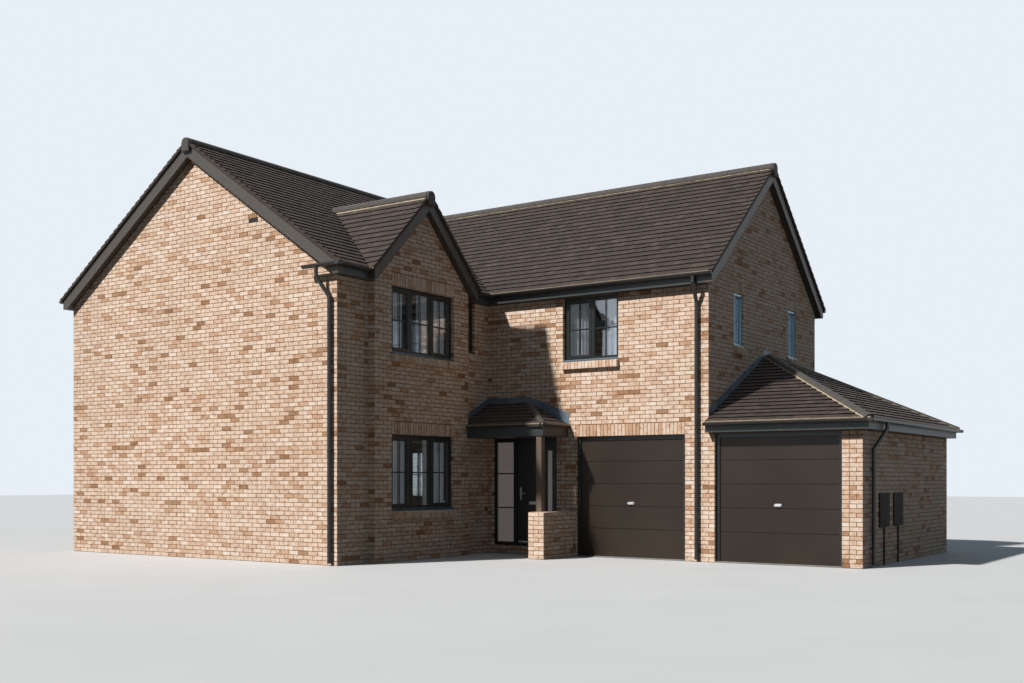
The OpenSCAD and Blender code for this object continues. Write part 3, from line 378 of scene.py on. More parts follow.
def half_round(net, p0, p1, up, r, low, leg=0.0):
    """Rounded ridge or hip tiles from p0 to p1. low is the drop of their middle below the line p0 to p1."""
    d = Vector(p1) - Vector(p0)
    length = d.length
    net.follow(p0, d.normalized(), up)
    steps = 14
    m = steps + 1
    rims, faces = [], []
    for radius in (r, r - 0.016):
        turns = [(pi * k / steps, low + (0.0 if 0 < k < steps else leg)) for k in range(m)]
        rims.append([(radius * cos(t), radius * sin(t) - drop) for t, drop in turns])
    for k in range(steps):
        faces += [(k, k + 1, m + k + 1, m + k), (2 * m + k, 3 * m + k, 3 * m + k + 1, 2 * m + k + 1),
                  (k, 2 * m + k, 2 * m + k + 1, k + 1), (m + k, m + k + 1, 3 * m + k + 1, 3 * m + k)]
    faces += [(0, m, 3 * m, 2 * m), (m - 1, 3 * m - 1, 4 * m - 1, 2 * m - 1)]
    n = max(1, round(length / RIDGE_TILE))
    for i in range(n):
        ends = length * i / n + 0.003, length * (i + 1) / n - 0.003
        net.add([(u, x, z) for rim in rims for u in ends for x, z in rim], faces, random.random())


def bedding(net, p0, p1, up, half, top, deep):
    """Mortar under the ridge or hip tiles, which shows as a pale line along both their edges."""
    d = Vector(p1) - Vector(p0)
    length = d.length
    net.follow(p0, d.normalized(), up)
    n = max(1, round(length / BED_STEP))
    pts, faces = [], []
    for i in range(n + 1):
        w = half + random.uniform(-0.0025, 0.0015)
        x = length * i / n
        pts += [(x, -w, -deep), (x, -w, -top), (x, w, -top), (x, w, -deep)]
    for i in range(n):
        a, b = 4 * i, 4 * i + 4
        faces += [(a, a + 1, b + 1, b), (a + 1, a + 2, b + 2, b + 1), (a + 2, a + 3, b + 3, b + 2)]
    faces += [(0, 3, 2, 1), (4 * n, 4 * n + 1, 4 * n + 2, 4 * n + 3)]
    net.add(pts, faces)


def arch(r, low):
    """Half a circle, with its middle low below the net's plane."""
    return [(r * cos(pi * k / 12), r * sin(pi * k / 12) - low) for k in range(13)]


def hip(corner, apex, short, r, low, leg, plug, bed):
    """A hip's tiles, their mortar and the plug in the lowest one's foot. short has how far the tiles stay off the
    corner and the apex, and the mortar off the apex; plug is the plug's radius and bed the mortar's measures."""
    corner, apex = Vector(corner), Vector(apex)
    d = (apex - corner).normalized()
    up = (UP - d * d.z).normalized()
    foot = corner + d * short[0]
    half_round(ridges, foot, apex - d * short[1], up, r, low, leg)
    bedding(beds, corner + d * (short[0] + 0.03), apex - d * short[2], up, *bed)
    beds.follow(foot, d, up)
    beds.prism(arch(plug, low), 0.010, 0.060)


def block_end(net, centre, out):
    """The squared end of a ridge: a rounded top with straight cheeks that cover the verges' meeting."""
    net.place(centre, out, UP.cross(out))
    for r, foot, start, end in ((0.100, 0.20, -0.075, 0.030), (0.082, 0.185, 0.030, 0.036)):
        net.prism(arch(r, 0.045) + [(-r, -foot), (r, -foot)], start, end, random.random())


# ---------------- materials
def hexa(code):
    c = [int(code[i:i + 2], 16) / 255 for i in (0, 2, 4)]
    return tuple(x / 12.92 if x <= 0.04045 else ((x + 0.055) / 1.055) ** 2.4 for x in c) + (1.0,)


def node(tree, kind, sockets=(), **props):
    """A new node. sockets has its inputs by name or number, each with a value or with the output that feeds it."""
    n = tree.nodes.new("ShaderNode" + kind)
    for k, v in props.items():
        setattr(n, k, v)
    for k, v in dict(sockets).items():
        if isinstance(v, bpy.types.NodeSocket):
            tree.links.new(v, n.inputs[k])
        else:
            n.inputs[k].default_value = v
    return n


class Look:
    """A procedural material, built with short node calls."""

    def __init__(self, name, mean, rough=0.6, **sockets):
        self.mat = bpy.data.materials.new(name)
        self.mat.use_nodes = True
        self.mat.diffuse_color = hexa(mean)
        self.tree = self.mat.node_tree
        self.bsdf = self.tree.nodes["Principled BSDF"]
        for k, v in {"Base_Color": hexa(mean), "Roughness": rough, **sockets}.items():
            self.bsdf.inputs[k.replace("_", " ")].default_value = v
        self.coords = self.node("TexCoord").outputs["Object"]

    def node(self, kind, sockets=(), **props):
        return node(self.tree, kind, sockets, **props)

    def feed(self, socket, source):
        self.tree.links.new(source, self.bsdf.inputs[socket])

    def noise(self, scale, detail=3.0, rough=0.55, stretch=None):
        at = self.coords
        if stretch:
            at = self.node("Mapping", {"Vector": at, "Scale": stretch}).outputs["Vector"]
        sockets = {"Vector": at, "Scale": scale, "Detail": detail, "Roughness": rough}
        return self.node("TexNoise", sockets).outputs["Fac"]

    def tint(self):
        return self.node("Attribute", attribute_name="tint").outputs["Fac"]

    def ramp(self, source, stops):
        n = self.node("ValToRGB", {"Fac": source})
        r = n.color_ramp
        while len(r.elements) < len(stops):
            r.elements.new(0.5)
        for e, (pos, col) in zip(r.elements, stops):
            e.position = pos
            e.color = hexa(col) if isinstance(col, str) else (col, col, col, 1)
        return n.outputs["Color"]

    def mix(self, a, b, fac, kind="MULTIPLY"):
        return self.node("Mix", {0: fac, 6: a, 7: b}, data_type="RGBA", blend_type=kind).outputs[2]

    def math(self, op, a, b):
        return self.node("Math", {0: a, 1: b}, operation=op).outputs[0]

    def colour(self, source):
        self.feed("Base Color", source)

    def rough(self, source, lo, hi):
        sockets = {"Value": source, "From Min": 0.3, "From Max": 0.7, "To Min": lo, "To Max": hi}
        self.feed("Roughness", self.node("MapRange", sockets).outputs["Result"])

    def bump(self, source, strength, distance):
        sockets = {"Height": source, "Strength": strength, "Distance": distance}
        self.feed("Normal", self.node("Bump", sockets).outputs["Normal"])


def speckled(name, base, dark, light, scale, rough, bump, distance, stretch=None, **sockets):
    """A surface with fine mottling and faint larger patches."""
    m = Look(name, mean=base, **sockets)
    fine = m.noise(scale, 4.0, 0.6, stretch)
    broad = m.noise(1.7, 3.0)
    col = m.ramp(fine, [(0.3, dark), (0.5, base), (0.72, light)])
    col = m.mix(col, m.ramp(broad, [(0.35, 0.82), (0.65, 1.0)]), 1.0)
    m.colour(col)
    m.rough(fine, *rough)
    m.bump(fine, bump, distance)
    return m.mat


def make_brick():
    m = Look("brick", mean="d9bfa4", rough=0.85)
    tint = m.tint()
    base = m.ramp(tint, [(0.0, "f2dccb"), (0.1, "e9d0be"), (0.2, "f7e5d7"), (0.3, "e1c6b1"), (0.42, "f0d9c6"),
                         (0.55, "dec2ab"), (0.62, "d3b097"), (0.72, "c6a288"), (0.8, "b19074"), (1.0, "9a775b")])
    fine = m.noise(48, 5.0, 0.65)
    smudge = m.noise(15, 3.0, 0.6)
    broad = m.noise(0.7, 3.0, 0.5)
    col = m.mix(base, m.ramp(fine, [(0.25, "a88c78"), (0.5, "e0d2c6"), (0.8, "fff8f0")]), 0.40, "SOFT_LIGHT")
    col = m.mix(col, m.ramp(smudge, [(0.32, "b98f6c"), (0.46, "f2e4d4"), (0.62, "ffffff")]), 0.60)
    col = m.mix(col, m.ramp(broad, [(0.35, 0.92), (0.6, 1.0)]), 0.7)
    m.colour(col)
    m.rough(fine, 0.78, 0.95)
    m.bump(m.math("ADD", fine, m.math("MULTIPLY", smudge, 0.6)), 0.45, 0.002)
    return m.mat


def make_tile():
    m = Look("roof_tile", mean="4b423e", rough=0.8, Specular_IOR_Level=0.30)
    tint = m.tint()
    # The last stop, at the butts' tint, is painted shade under each course's lower edge
    base = m.ramp(tint, [(0.0, "3b312c"), (0.3, "473c36"), (0.6, "3f3530"), (0.9, "4f433c"), (0.95, "1f1816")])
    fine = m.noise(70, 5.0, 0.7)
    patch = m.noise(3.2, 4.0, 0.6)
    streak = m.noise(5.0, 3.0, 0.5, (6.0, 1.0, 1.0))
    col = m.mix(base, m.ramp(fine, [(0.3, 0.72), (0.5, 1.0), (0.75, 1.30)]), 0.6)
    col = m.mix(col, m.ramp(patch, [(0.35, 0.80), (0.6, 1.04)]), 0.8)
    col = m.mix(col, m.ramp(streak, [(0.35, 0.86), (0.6, 1.0)]), 0.5)
    m.colour(col)
    m.rough(fine, 0.68, 0.92)
    m.bump(fine, 0.35, 0.0015)
    return m.mat


def make_glass(name, tint, mirror):
    """Panes that show what is behind them through a tint and mirror the sky at a slant."""
    mat = bpy.data.materials.new(name)
    mat.use_nodes = True
    mat.diffuse_color = hexa(tint)
    tree = mat.node_tree
    tree.nodes.clear()
    coords = node(tree, "TexCoord").outputs["Object"]
    wave = node(tree, "TexNoise", {"Vector": coords, "Scale": 1.3}).outputs["Fac"]
    bump = node(tree, "Bump", {"Height": wave, "Strength": 0.10, "Distance": 0.01}).outputs["Normal"]
    see = node(tree, "BsdfTransparent", {"Color": hexa(tint)}).outputs[0]
    gloss = node(tree, "BsdfGlossy",
                 {"Color": (0.92, 0.95, 1.0, 1.0), "Roughness": 0.02, "Normal": bump}).outputs[0]
    slant = node(tree, "LayerWeight", {"Blend": 0.5}).outputs["Facing"]
    steep = node(tree, "Math", {0: slant, 1: 5.0}, operation="POWER").outputs[0]
    share = node(tree, "MapRange", {"Value": steep, "To Min": mirror}).outputs["Result"]
    mix = node(tree, "MixShader", {"Fac": share, 1: see, 2: gloss}).outputs[0]
    node(tree, "OutputMaterial", {"Surface": mix})
    return mat


def make_grained(name, base, dark, light, rough=(0.42, 0.55), stretch=(1.0, 1.0, 9.0), **sockets):
    """Foil with a faint grain along its length."""
    m = Look(name, mean=base, **sockets)
    grain = m.noise(16, 5.0, 0.7, stretch)
    fine = m.noise(160, 3.0, 0.6)
    col = m.ramp(grain, [(0.32, dark), (0.5, base), (0.7, light)])
    m.colour(m.mix(col, m.ramp(fine, [(0.3, 0.9), (0.7, 1.06)]), 0.6))
    m.rough(grain, *rough)
    m.bump(grain, 0.18, 0.0008)
    return m.mat


def make_door_skin():
    """Satin steel with a fine stucco."""
    m = Look("door", mean="2f251b", rough=0.42, Specular_IOR_Level=0.36)
    stucco = m.noise(220, 3.0, 0.6)
    broad = m.noise(0.9, 2.0)
    m.colour(m.mix(m.ramp(stucco, [(0.3, "281f16"), (0.5, "2f251b"), (0.75, "382d22")]),
                   m.ramp(broad, [(0.35, 0.88), (0.65, 1.05)]), 0.8))
    m.rough(broad, 0.36, 0.48)
    m.bump(stucco, 0.10, 0.0006)
    return m.mat


def make_glowing_cloth():
    # The emission is a painted glow that stands in for light in the rooms behind the curtains
    m = Look("curtain", mean="d9dadf", rough=0.9, Emission_Color=hexa("c9ccd4"), Emission_Strength=0.10)
    warp = m.noise(300, 2.0, 0.5, (1.0, 1.0, 0.15))
    weft = m.noise(300, 2.0, 0.5, (0.15, 0.15, 1.0))
    both = m.math("MULTIPLY", m.math("ADD", warp, weft), 0.5)
    m.colour(m.ramp(both, [(0.35, "c8c9cf"), (0.5, "d9dadf"), (0.65, "e6e6ea")]))
    m.bump(both, 0.3, 0.0008)
    return m.mat


def make_lead():
    m = Look("lead", mean="6b7884", rough=0.5)
    cloud = m.noise(4.5, 5.0, 0.65)
    fine = m.noise(60, 4.0, 0.6)
    col = m.ramp(cloud, [(0.3, "53606c"), (0.5, "6c7a87"), (0.72, "8d99a3")])
    col = m.mix(col, m.ramp(fine, [(0.3, "4c5966"), (0.7, "98a2ac")]), 0.22, "MIX")
    m.colour(col)
    m.rough(cloud, 0.42, 0.62)
    m.bump(m.math("ADD", cloud, m.math("MULTIPLY", fine, 0.2)), 0.35, 0.004)
    return m.mat


BRICK_M = make_brick()
TILE_M = make_tile()
MORTAR_M = speckled("mortar", "82542c", "6d4521", "966437", 90, (0.85, 0.97), 0.5, 0.002)
RIDGE_M = speckled("ridge_tile", "4a443f", "3b3632", "5b544e", 45, (0.7, 0.9), 0.35, 0.0015)
BED_M = speckled("ridge_mortar", "cdbca0", "b7a489", "dccfb8", 60, (0.85, 0.97), 0.5, 0.003)
EDGE_M = speckled("eaves_mortar", "a3917a", "8c7b66", "b7a58d", 60, (0.85, 0.97), 0.4, 0.002)
# Darker and greener than the barge boards' foil: painted shade from the gutters over the fascias
FASCIA_SHADE_M = make_grained("fascia", "303535", "282d2d", "3a403f")
TRIM_M = make_grained("dark_trim", "49423b", "3d3731", "564e45")
RAIN_M = speckled("dark_plastic", "2e2b2a", "262322", "383533", 120, (0.34, 0.46), 0.08, 0.0005)
LEAD_M = make_lead()
POST_M = make_grained("porch_post", "6a594b", "62523f", "725f51", (0.55, 0.65), (9.0, 9.0, 1.0))
# Pale blue with a metallic sheen: painted sky reflection on the gable windows' dark frames
SKY_REFLECTION_FRAME_M = make_grained("frame_painted_sky_reflection", "86a0ae", "7891a0", "94adba", (0.18, 0.28), Metallic=0.5)
WINDOW_M = make_grained("window_frame", "202321", "191c1b", "2a2e2b", (0.30, 0.42))
# Blue-grey: painted sky reflection on the cills, which share the frames' dark colour
CILL_SKY_REFLECTION_M = make_grained("frame_cill", "5a686e", "4d5a60", "68767d", (0.22, 0.34))
GLASS_M = make_glass("glass", "f0f4f4", 0.18)
SKY_GLASS_M = make_glass("glass_facing_sky", "dfe9ee", 0.50)
# Frosted glass with a faint painted glow, standing in for light from the hall behind it
FROSTED_GLOW_M = speckled("frosted_glass", "efe2dc", "e6d8d2", "f6ebe6", 140, (0.28, 0.42), 0.25, 0.001,
                     Emission_Color=hexa("fff0e8"), Emission_Strength=0.055)
DOOR_M = make_door_skin()
ENTRY_M = make_grained("entry_door", "2b2c2e", "232426", "343537", (0.34, 0.46), (9.0, 9.0, 1.0))
METAL_M = speckled("metal", "f0f1f3", "e2e3e5", "f8f8f9", 200, (0.30, 0.42), 0.05, 0.0003, (1, 1, 12),
                   Metallic=0.75)
METER_M = speckled("meter_box", "211d1c", "1b1817", "2a2624", 90, (0.7, 0.85), 0.15, 0.0006,
                   Specular_IOR_Level=0.12)
CONCRETE_M = speckled("concrete", "8f8b85", "7f7b75", "a09c96", 25, (0.75, 0.92), 0.3, 0.002)
BOARD_M = speckled("boards", "8a6d4e", "76593d", "9d8060", 8, (0.5, 0.7), 0.15, 0.001, (1, 14, 1))
PLASTER_M = speckled("plaster", "c9c5be", "bfbbb4", "d3cfc9", 30, (0.85, 0.95), 0.1, 0.0008)
CURTAIN_GLOW_M = make_glowing_cloth()
VENT_M = speckled("vent", "2f2a27", "262220", "3a3431", 80, (0.7, 0.85), 0.2, 0.001)

NODE_LOOKS = [
    (MORTAR_M, "wing_front_wall wing_left_wall wing_side_wall bay_wall range_front_piers range_upper_wall "
               "range_gable_wall rear_wall garage_front_wall garage_side_wall garage_back_wall porch_wall "
               "soldier_courses window_sills"),
    (TILE_M, "wing_roof bay_roof range_roof garage_roof canopy_roof"),
    (TRIM_M, "bargeboards"),
    (POST_M, "porch_post"),
    (FASCIA_SHADE_M, "fascias"),
    (RAIN_M, "gutters downpipes"),
    (WINDOW_M, "wing_window_frames front_window_frame rear_window_frames door_frame garage_door_frames"),
    (SKY_REFLECTION_FRAME_M, "gable_window_frames"),
    (GLASS_M, "wing_window_glass front_window_glass rear_window_glass"),
    (SKY_GLASS_M, "gable_window_glass"),
    (FROSTED_GLOW_M, "sidelight_glass front_door_glass"),
    (ENTRY_M, "front_door"),
    (METAL_M, "door_furniture"),
    (METER_M, "meter_boxes"),
    (CONCRETE_M, "ground_floor"),
    (BOARD_M, "first_floor"),
    (PLASTER_M, "loft_floor"),
    (LEAD_M, "lead_flashings"),
    (RIDGE_M, "ridge_tiles"),
]
for look, names in NODE_LOOKS:
    for name in names.split():
        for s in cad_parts[name].material_slots:
            s.material = look
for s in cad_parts["garage_doors"].material_slots:
    slot_name = s.material.name.lower() if s.material else ""
    s.material = METAL_M if "metal" in slot_name else DOOR_M


# ---------------- walls
def gable_limits(length, pitch, rise):
    """Full courses up to the soffit, and above it only what shows under the barge boards."""
    def limits(z0, z1):
        if z1 <= SOFFIT + SLACK:
            return [(0.0, length)]
        line = EAVES + rise - BARGE_LOW + 0.012
        reach = (line - z0) / tan(pitch)
        if reach < 0.03:
            return []
        return [(max(0.0, length / 2 - reach), min(length, length / 2 + reach))]
    return limits


wing_limits = gable_limits(WING_W, PITCH_WING, WING_RISE)
bay_limits = gable_limits(BAY_W, PITCH_BAY, BAY_RISE)
range_limits = gable_limits(RANGE_D, PITCH_RANGE, RANGE_RISE)


def front_limits(z0, z1):
    """The attached garage's front too, as far up as its door."""
    return [(0.0, GARAGE_X if z1 <= HEAD_1 + SLACK else RANGE_W)]


def over_garage(z0, z1):
    """The range's gable, less what the attached garage's roof covers."""
    spans = range_limits(z0, z1)
    reach = (GARAGE_EAVES + GARAGE_RISE - z1) / tan(PITCH_GARAGE)
    return subtract(spans, RANGE_D / 2 - reach, RANGE_D / 2 + reach) if reach > 0 else spans


def rear_limits(z0, z1):
    """The garage's back, then the whole house, then the wing's gable."""
    if z1 <= SOFFIT + SLACK:
        return [(0.0 if z1 <= HEAD_1 + SLACK else GARAGE_X - RANGE_W, GARAGE_X + WING_W)]
    return [(a + GARAGE_X, b + GARAGE_X) for a, b in wing_limits(z0, z1)]


# The corners that the walls start from, and the openings in them
bay_o, side_o = (BAY_OUT, BAY_Y, 0), (0, BAY_Y + BAY_W, 0)
front_o, gable_o, rear_o = (0, RANGE_Y, 0), (RANGE_W, RANGE_Y, 0), (GARAGE_X, BACK, 0)
STEP = 0.15
bay_low = Opening(bay_o, SIDE, 0.45, 1.8, LOW_SILL, HEAD_1, BRICK)
bay_high = Opening(bay_o, SIDE, 0.45, 1.8, HIGH_SILL, HEAD_2, BRICK)
side_window = Opening(side_o, SIDE, 0.075, 0.3375, SMALL_SILL, HEAD_2)
front_window = Opening(front_o, FRONT, 1.75, 1.2, HIGH_SILL, HEAD_2)
entrance = Opening(front_o, FRONT, 0.1125, 1.5, STEP, HEAD_1, under=0)
garage_doors = [Opening(front_o, FRONT, u, 2.26, 0.0, HEAD_1, over, 0, DOOR_REVEAL)
                for u, over in ((2.04, BRICK), (4.8625, 0.0))]
gable_windows = [Opening(gable_o, SIDE, RANGE_D / 2 + out - 0.225, 0.45, SMALL_SILL, HEAD_2, BRICK)
                 for out in (-1.35, 1.35)]
# For the rear ones, x of their left end, width, sill, head and the soldiers over them
rear_windows = [Opening(rear_o, REAR, GARAGE_X - x, width, *levels) for x, width, *levels in (
    (-4.5, 1.8, LOW_SILL, HEAD_1, BRICK), (-4.5, 1.8, HIGH_SILL, HEAD_2, BRICK),
    (-1.2, 1.2, LOW_SILL, HEAD_1, BRICK), (-1.2, 1.2, HIGH_SILL, HEAD_2, BRICK),
    (2.95, 1.2, LOW_SILL, HEAD_1, BRICK), (2.95, 1.2, HIGH_SILL, HEAD_2))]
VENT_X, VENT_Z = -2.12, 80 * COURSE
vent_gap = Opening((-WING_W, 0, 0), FRONT, WING_W + VENT_X, 0.235, VENT_Z, VENT_Z + COURSE, under=0)

wing_front = wall((-WING_W, 0, 0), FRONT, WING_W, GABLE_ROWS, [vent_gap], wing_limits)
wing_left = wall((-WING_W, WING_D, 0), LEFT, WING_D, EAVES_ROWS)
side_near = wall((0, 0, 0), SIDE, BAY_Y, EAVES_ROWS)
side_far = wall(side_o, SIDE, RANGE_Y - BAY_Y - BAY_W, EAVES_ROWS, [side_window])
bay_front = wall(bay_o, SIDE, BAY_W, GABLE_ROWS, [bay_low, bay_high], bay_limits)
bay_near = wall((0, BAY_Y, 0), FRONT, BAY_OUT, EAVES_ROWS)
bay_far = wall((BAY_OUT, BAY_Y + BAY_W, 0), REAR, BAY_OUT, EAVES_ROWS)
range_front = wall(front_o, FRONT, RANGE_W, EAVES_ROWS, [entrance, *garage_doors, front_window], front_limits)
range_gable = wall(gable_o, SIDE, RANGE_D, GABLE_ROWS, gable_windows, over_garage, low=GARAGE_ROWS)
rear = wall(rear_o, REAR, GARAGE_X + WING_W, GABLE_ROWS, rear_windows, rear_limits)
garage_side = wall((GARAGE_X, RANGE_Y, 0), SIDE, RANGE_D, GARAGE_ROWS)

# The porch's low wall, whose courses are a little taller, and the step's edge
LOW_X, LOW_T, LOW_D, LOW_H, LOW_ROWS = 1.7125, 0.3275, 1.125, 0.850, 11
porch = [wall((LOW_X, RANGE_Y - LOW_D, 0), FRONT, LOW_T, LOW_ROWS),
         wall((LOW_X + LOW_T, RANGE_Y - LOW_D, 0), SIDE, LOW_D, LOW_ROWS, phase=1),
         wall((LOW_X, RANGE_Y, 0), LEFT, LOW_D, LOW_ROWS, phase=1)]
for net in porch:
    net.verts = [(x, y, z * LOW_H / (LOW_ROWS * COURSE)) for x, y, z in net.verts]
low_top = Net((LOW_X, RANGE_Y - LOW_D, LOW_H))
for k in range(round(LOW_D / COURSE)):
    split = BRICK if k % 2 else BRICK / 2
    for a, b in ((0.0, split - JOINT), (split, LOW_T)):
        brick(low_top, a, b, *course(k))
step_top = Net((entrance.u0, RANGE_Y, STEP))
for k in range(round(entrance.width / COURSE)):
    brick(step_top, *course(k), 0.0, REVEAL - 0.004)


def dress_window(net, w):
    jambs(net, w)
    if w.over:
        soldiers(net, w)
    brick_sill(net, w)


# Jambs, soldier courses and sills
dress = Net()
for w in (bay_low, bay_high, side_window, front_window):
    dress_window(dress, w)
for w in (entrance, *garage_doors):
    jambs(dress, w)
soldiers(dress, garage_doors[0])
for w in gable_windows:
    dress_window(dress, w)
for w in rear_windows:
    jambs(dress, w)
    brick_sill(dress, w)
    if w.over:
        soldiers(dress, w)

for name, nets in {
        "wing_front_bricks": [wing_front],
        "wing_left_bricks": [wing_left],
        "wing_side_bricks": [side_near, side_far],
        "bay_bricks": [bay_front, bay_near, bay_far],
        "range_front_bricks": [range_front],
        "range_gable_bricks": [range_gable],
        "rear_bricks": [rear],
        "garage_side_bricks": [garage_side],
        "porch_bricks": [*porch, low_top, step_top],
        "dressing_bricks": [dress]}.items():
    merged(*nets).piece(name, [BRICK_M], "brick")

# The vent's back plate, its rails, nine uprights and two bars between them
vent = Net((VENT_X, 0, VENT_Z), FRONT, UP)
VENT_LO, VENT_HI = 0.003, 0.232
uprights = [(VENT_LO + k * 0.0277, VENT_LO + k * 0.0277 + 0.0074, 0.010, 0.065, 0.0, 0.006) for k in range(9)]
for x0, x1, y0, y1, n0, n1 in ((VENT_LO, VENT_HI, 0.004, 0.071, -0.001, 0.0015),
                               (VENT_LO, VENT_HI, 0.004, 0.012, 0.0, 0.006),
                               (VENT_LO, VENT_HI, 0.063, 0.071, 0.0, 0.006), *uprights,
                               (VENT_LO, VENT_HI, 0.027, 0.031, 0.0, 0.005),
                               (VENT_LO, VENT_HI, 0.046, 0.050, 0.0, 0.005)):
    vent.box((x0, y0, n0), (x1, y1, n1))
vent.piece("wall_vent", [VENT_M], "dark_plastic")

# ---------------- roofs
wing_slope, bay_slope = WING_HALF / cos(PITCH_WING), BAY_HALF / cos(PITCH_BAY)
range_slope, garage_slope = RANGE_HALF / cos(PITCH_RANGE), RANGE_HALF / cos(PITCH_GARAGE)
ridge_x = -WING_W / 2
bay_valley = ridge_x + (WING_RISE - BAY_RISE) / tan(PITCH_WING)
range_valley = ridge_x + (WING_RISE - RANGE_RISE) / tan(PITCH_WING)
low_y, high_y = -VERGE, BACK + VERGE
TOP_GAP, VALLEY_GAP, WALL_GAP = 0.02, 0.012, 0.005


def tile_piece(name, *nets):
    merged(*nets).piece(name, [TILE_M, EDGE_M], "roof_tile")


def slope_pair(mid, half, z, pitch, region, verge=None):
    """The front and rear slopes of a roof whose ridge runs along X. region is the front one's, verge its end and
    length."""
    nets = []
    for u, side in ((FRONT, 1), (REAR, -1)):
        net = slope_net((0, mid - side * half, z), u, pitch)
        tiles(net, region if side > 0 else [(-region[i][0], region[i][1]) for i in (1, 0, 3, 2)])
        if verge:
            verge_caps(net, side * verge[0], side, verge[1])
        nets.append(net)
    return nets


# The wing's left slope
top_s = wing_slope - TOP_GAP
net = slope_net((-WING_W - EAVES_OUT, 0, EAVES), LEFT, PITCH_WING)
tiles(net, [(-high_y, 0), (-low_y, 0), (-low_y, top_s), (-high_y, top_s)])
verge_caps(net, -low_y, 1, wing_slope)
verge_caps(net, -high_y, -1, wing_slope)
tile_piece("wing_left_tiles", net)

# The wing's right slope, in bands beside the bay's and the range's valleys
net = slope_net((EAVES_OUT, 0, EAVES), SIDE, PITCH_WING)
between = (BAY_MID + BAY_HALF + RANGE_MID - RANGE_HALF) / 2
for mid, half, valley, lo, hi in ((BAY_MID, BAY_HALF, bay_valley, low_y, between),
                                  (RANGE_MID, RANGE_HALF, range_valley, between, high_y)):
    peak = (mid, (EAVES_OUT - valley) / cos(PITCH_WING) + VALLEY_GAP)
    tiles(net, [(lo, 0), (mid - half - VALLEY_GAP, 0), peak, (mid, top_s), (lo, top_s)])
    tiles(net, [(mid + half + VALLEY_GAP, 0), (hi, 0), (hi, top_s), (mid, top_s), peak])
verge_caps(net, low_y, -1, wing_slope)
verge_caps(net, high_y, 1, wing_slope)
tile_piece("wing_right_tiles", net)

# The bay's and the range's slopes
for name, mid, half, pitch, slope, valley, end in (
        ("bay_tiles", BAY_MID, BAY_HALF, PITCH_BAY, bay_slope, bay_valley, BAY_OUT + VERGE),
        ("range_tiles", RANGE_MID, RANGE_HALF, PITCH_RANGE, range_slope, range_valley, RANGE_W + VERGE)):
    s = slope - TOP_GAP
    region = [(EAVES_OUT + VALLEY_GAP, 0), (end, 0), (end, s), (valley + VALLEY_GAP, s)]
    tile_piece(name, *slope_pair(mid, half, EAVES, pitch, region, (end, slope)))

# The garage's half pyramid
garage_edge, wall_x = GARAGE_X + GARAGE_SIDE_OUT, RANGE_W + 0.006
garage_apex = garage_edge - RANGE_HALF
region = [(wall_x, 0), (garage_edge, 0), (garage_apex, garage_slope), (wall_x, garage_slope)]
pair = slope_pair(RANGE_MID, RANGE_HALF, GARAGE_EAVES, PITCH_GARAGE, region)
net = slope_net((garage_edge, 0, GARAGE_EAVES), SIDE, PITCH_GARAGE)
tiles(net, [(RANGE_MID - RANGE_HALF, 0), (RANGE_MID + RANGE_HALF, 0), (RANGE_MID, garage_slope)])
tile_piece("garage_tiles", *pair, net)

# The porch canopy, whose tiles lie a little lower
CANOPY_HOLD = 0.018
canopy_run, canopy_edge, canopy_z = 0.890 + 0.045, 1.875 + 0.038, HEAD_1 + 0.165 + 0.050
canopy_slope = canopy_run / cos(PITCH_CANOPY)
canopy_y, wall_y = RANGE_Y - canopy_run, RANGE_Y - WALL_GAP
net = slope_net((0, canopy_y, canopy_z), FRONT, PITCH_CANOPY)
tiles(net, [(WALL_GAP, 0), (canopy_edge, 0), (canopy_edge - canopy_run, canopy_slope), (WALL_GAP, canopy_slope)],
      CANOPY_HOLD)
side_net = slope_net((canopy_edge, 0, canopy_z), SIDE, PITCH_CANOPY)
tiles(side_net, [(canopy_y, 0), (wall_y, 0), (wall_y, canopy_slope)], CANOPY_HOLD)
tile_piece("canopy_tiles", net, side_net)

# Ridges and hips, with the mortar they lie in
RIDGE_R, RIDGE_LOW, BED_HALF, BED_TOP = 0.112, 0.050, 0.103, 0.045
ridges, beds = Net(), Net()
wing_top, bay_top, range_top = EAVES + WING_RISE, EAVES + BAY_RISE, EAVES + RANGE_RISE
inset = VERGE - 0.010
half_round(ridges, (ridge_x, -inset, wing_top), (ridge_x, BACK + inset, wing_top), UP, RIDGE_R, RIDGE_LOW)
bedding(beds, (ridge_x, -inset + 0.03, wing_top), (ridge_x, BACK + inset - 0.03, wing_top), UP,
        BED_HALF, BED_TOP, 0.115)
for valley, end, mid, top, leg, deep in (
        (bay_valley, BAY_OUT + inset, BAY_MID, bay_top, 0.014, 0.135),
        (range_valley, RANGE_W + inset, RANGE_MID, range_top, 0.008, 0.125)):
    half_round(ridges, (valley + 0.02, mid, top), (end, mid, top), UP, RIDGE_R, RIDGE_LOW, leg)
    bedding(beds, (valley - 0.02, mid, top), (end - 0.03, mid, top), UP, BED_HALF, BED_TOP, deep)
for side in (-1, 1):
    hip((garage_edge, RANGE_MID + side * RANGE_HALF, GARAGE_EAVES),
        (garage_apex, RANGE_MID, GARAGE_EAVES + GARAGE_RISE),
        short=(0.03, 0.02, 0.0), r=0.098, low=0.050, leg=0.003, plug=0.083, bed=(0.107, 0.008, 0.078))
hip((canopy_edge, canopy_y, canopy_z),
    (canopy_edge - canopy_run, RANGE_Y, canopy_z + canopy_run * tan(PITCH_CANOPY)),
    short=(0.02, 0.06, 0.07), r=0.074, low=0.046, leg=0.014, plug=0.060, bed=(0.070, 0.050, 0.075))
block_end(ridges, (ridge_x, -VERGE, wing_top), LEFT)
block_end(ridges, (ridge_x, BACK + VERGE, wing_top), SIDE)
block_end(ridges, (BAY_OUT + VERGE, BAY_MID, bay_top), FRONT)
block_end(ridges, (RANGE_W + VERGE, RANGE_MID, range_top), FRONT)
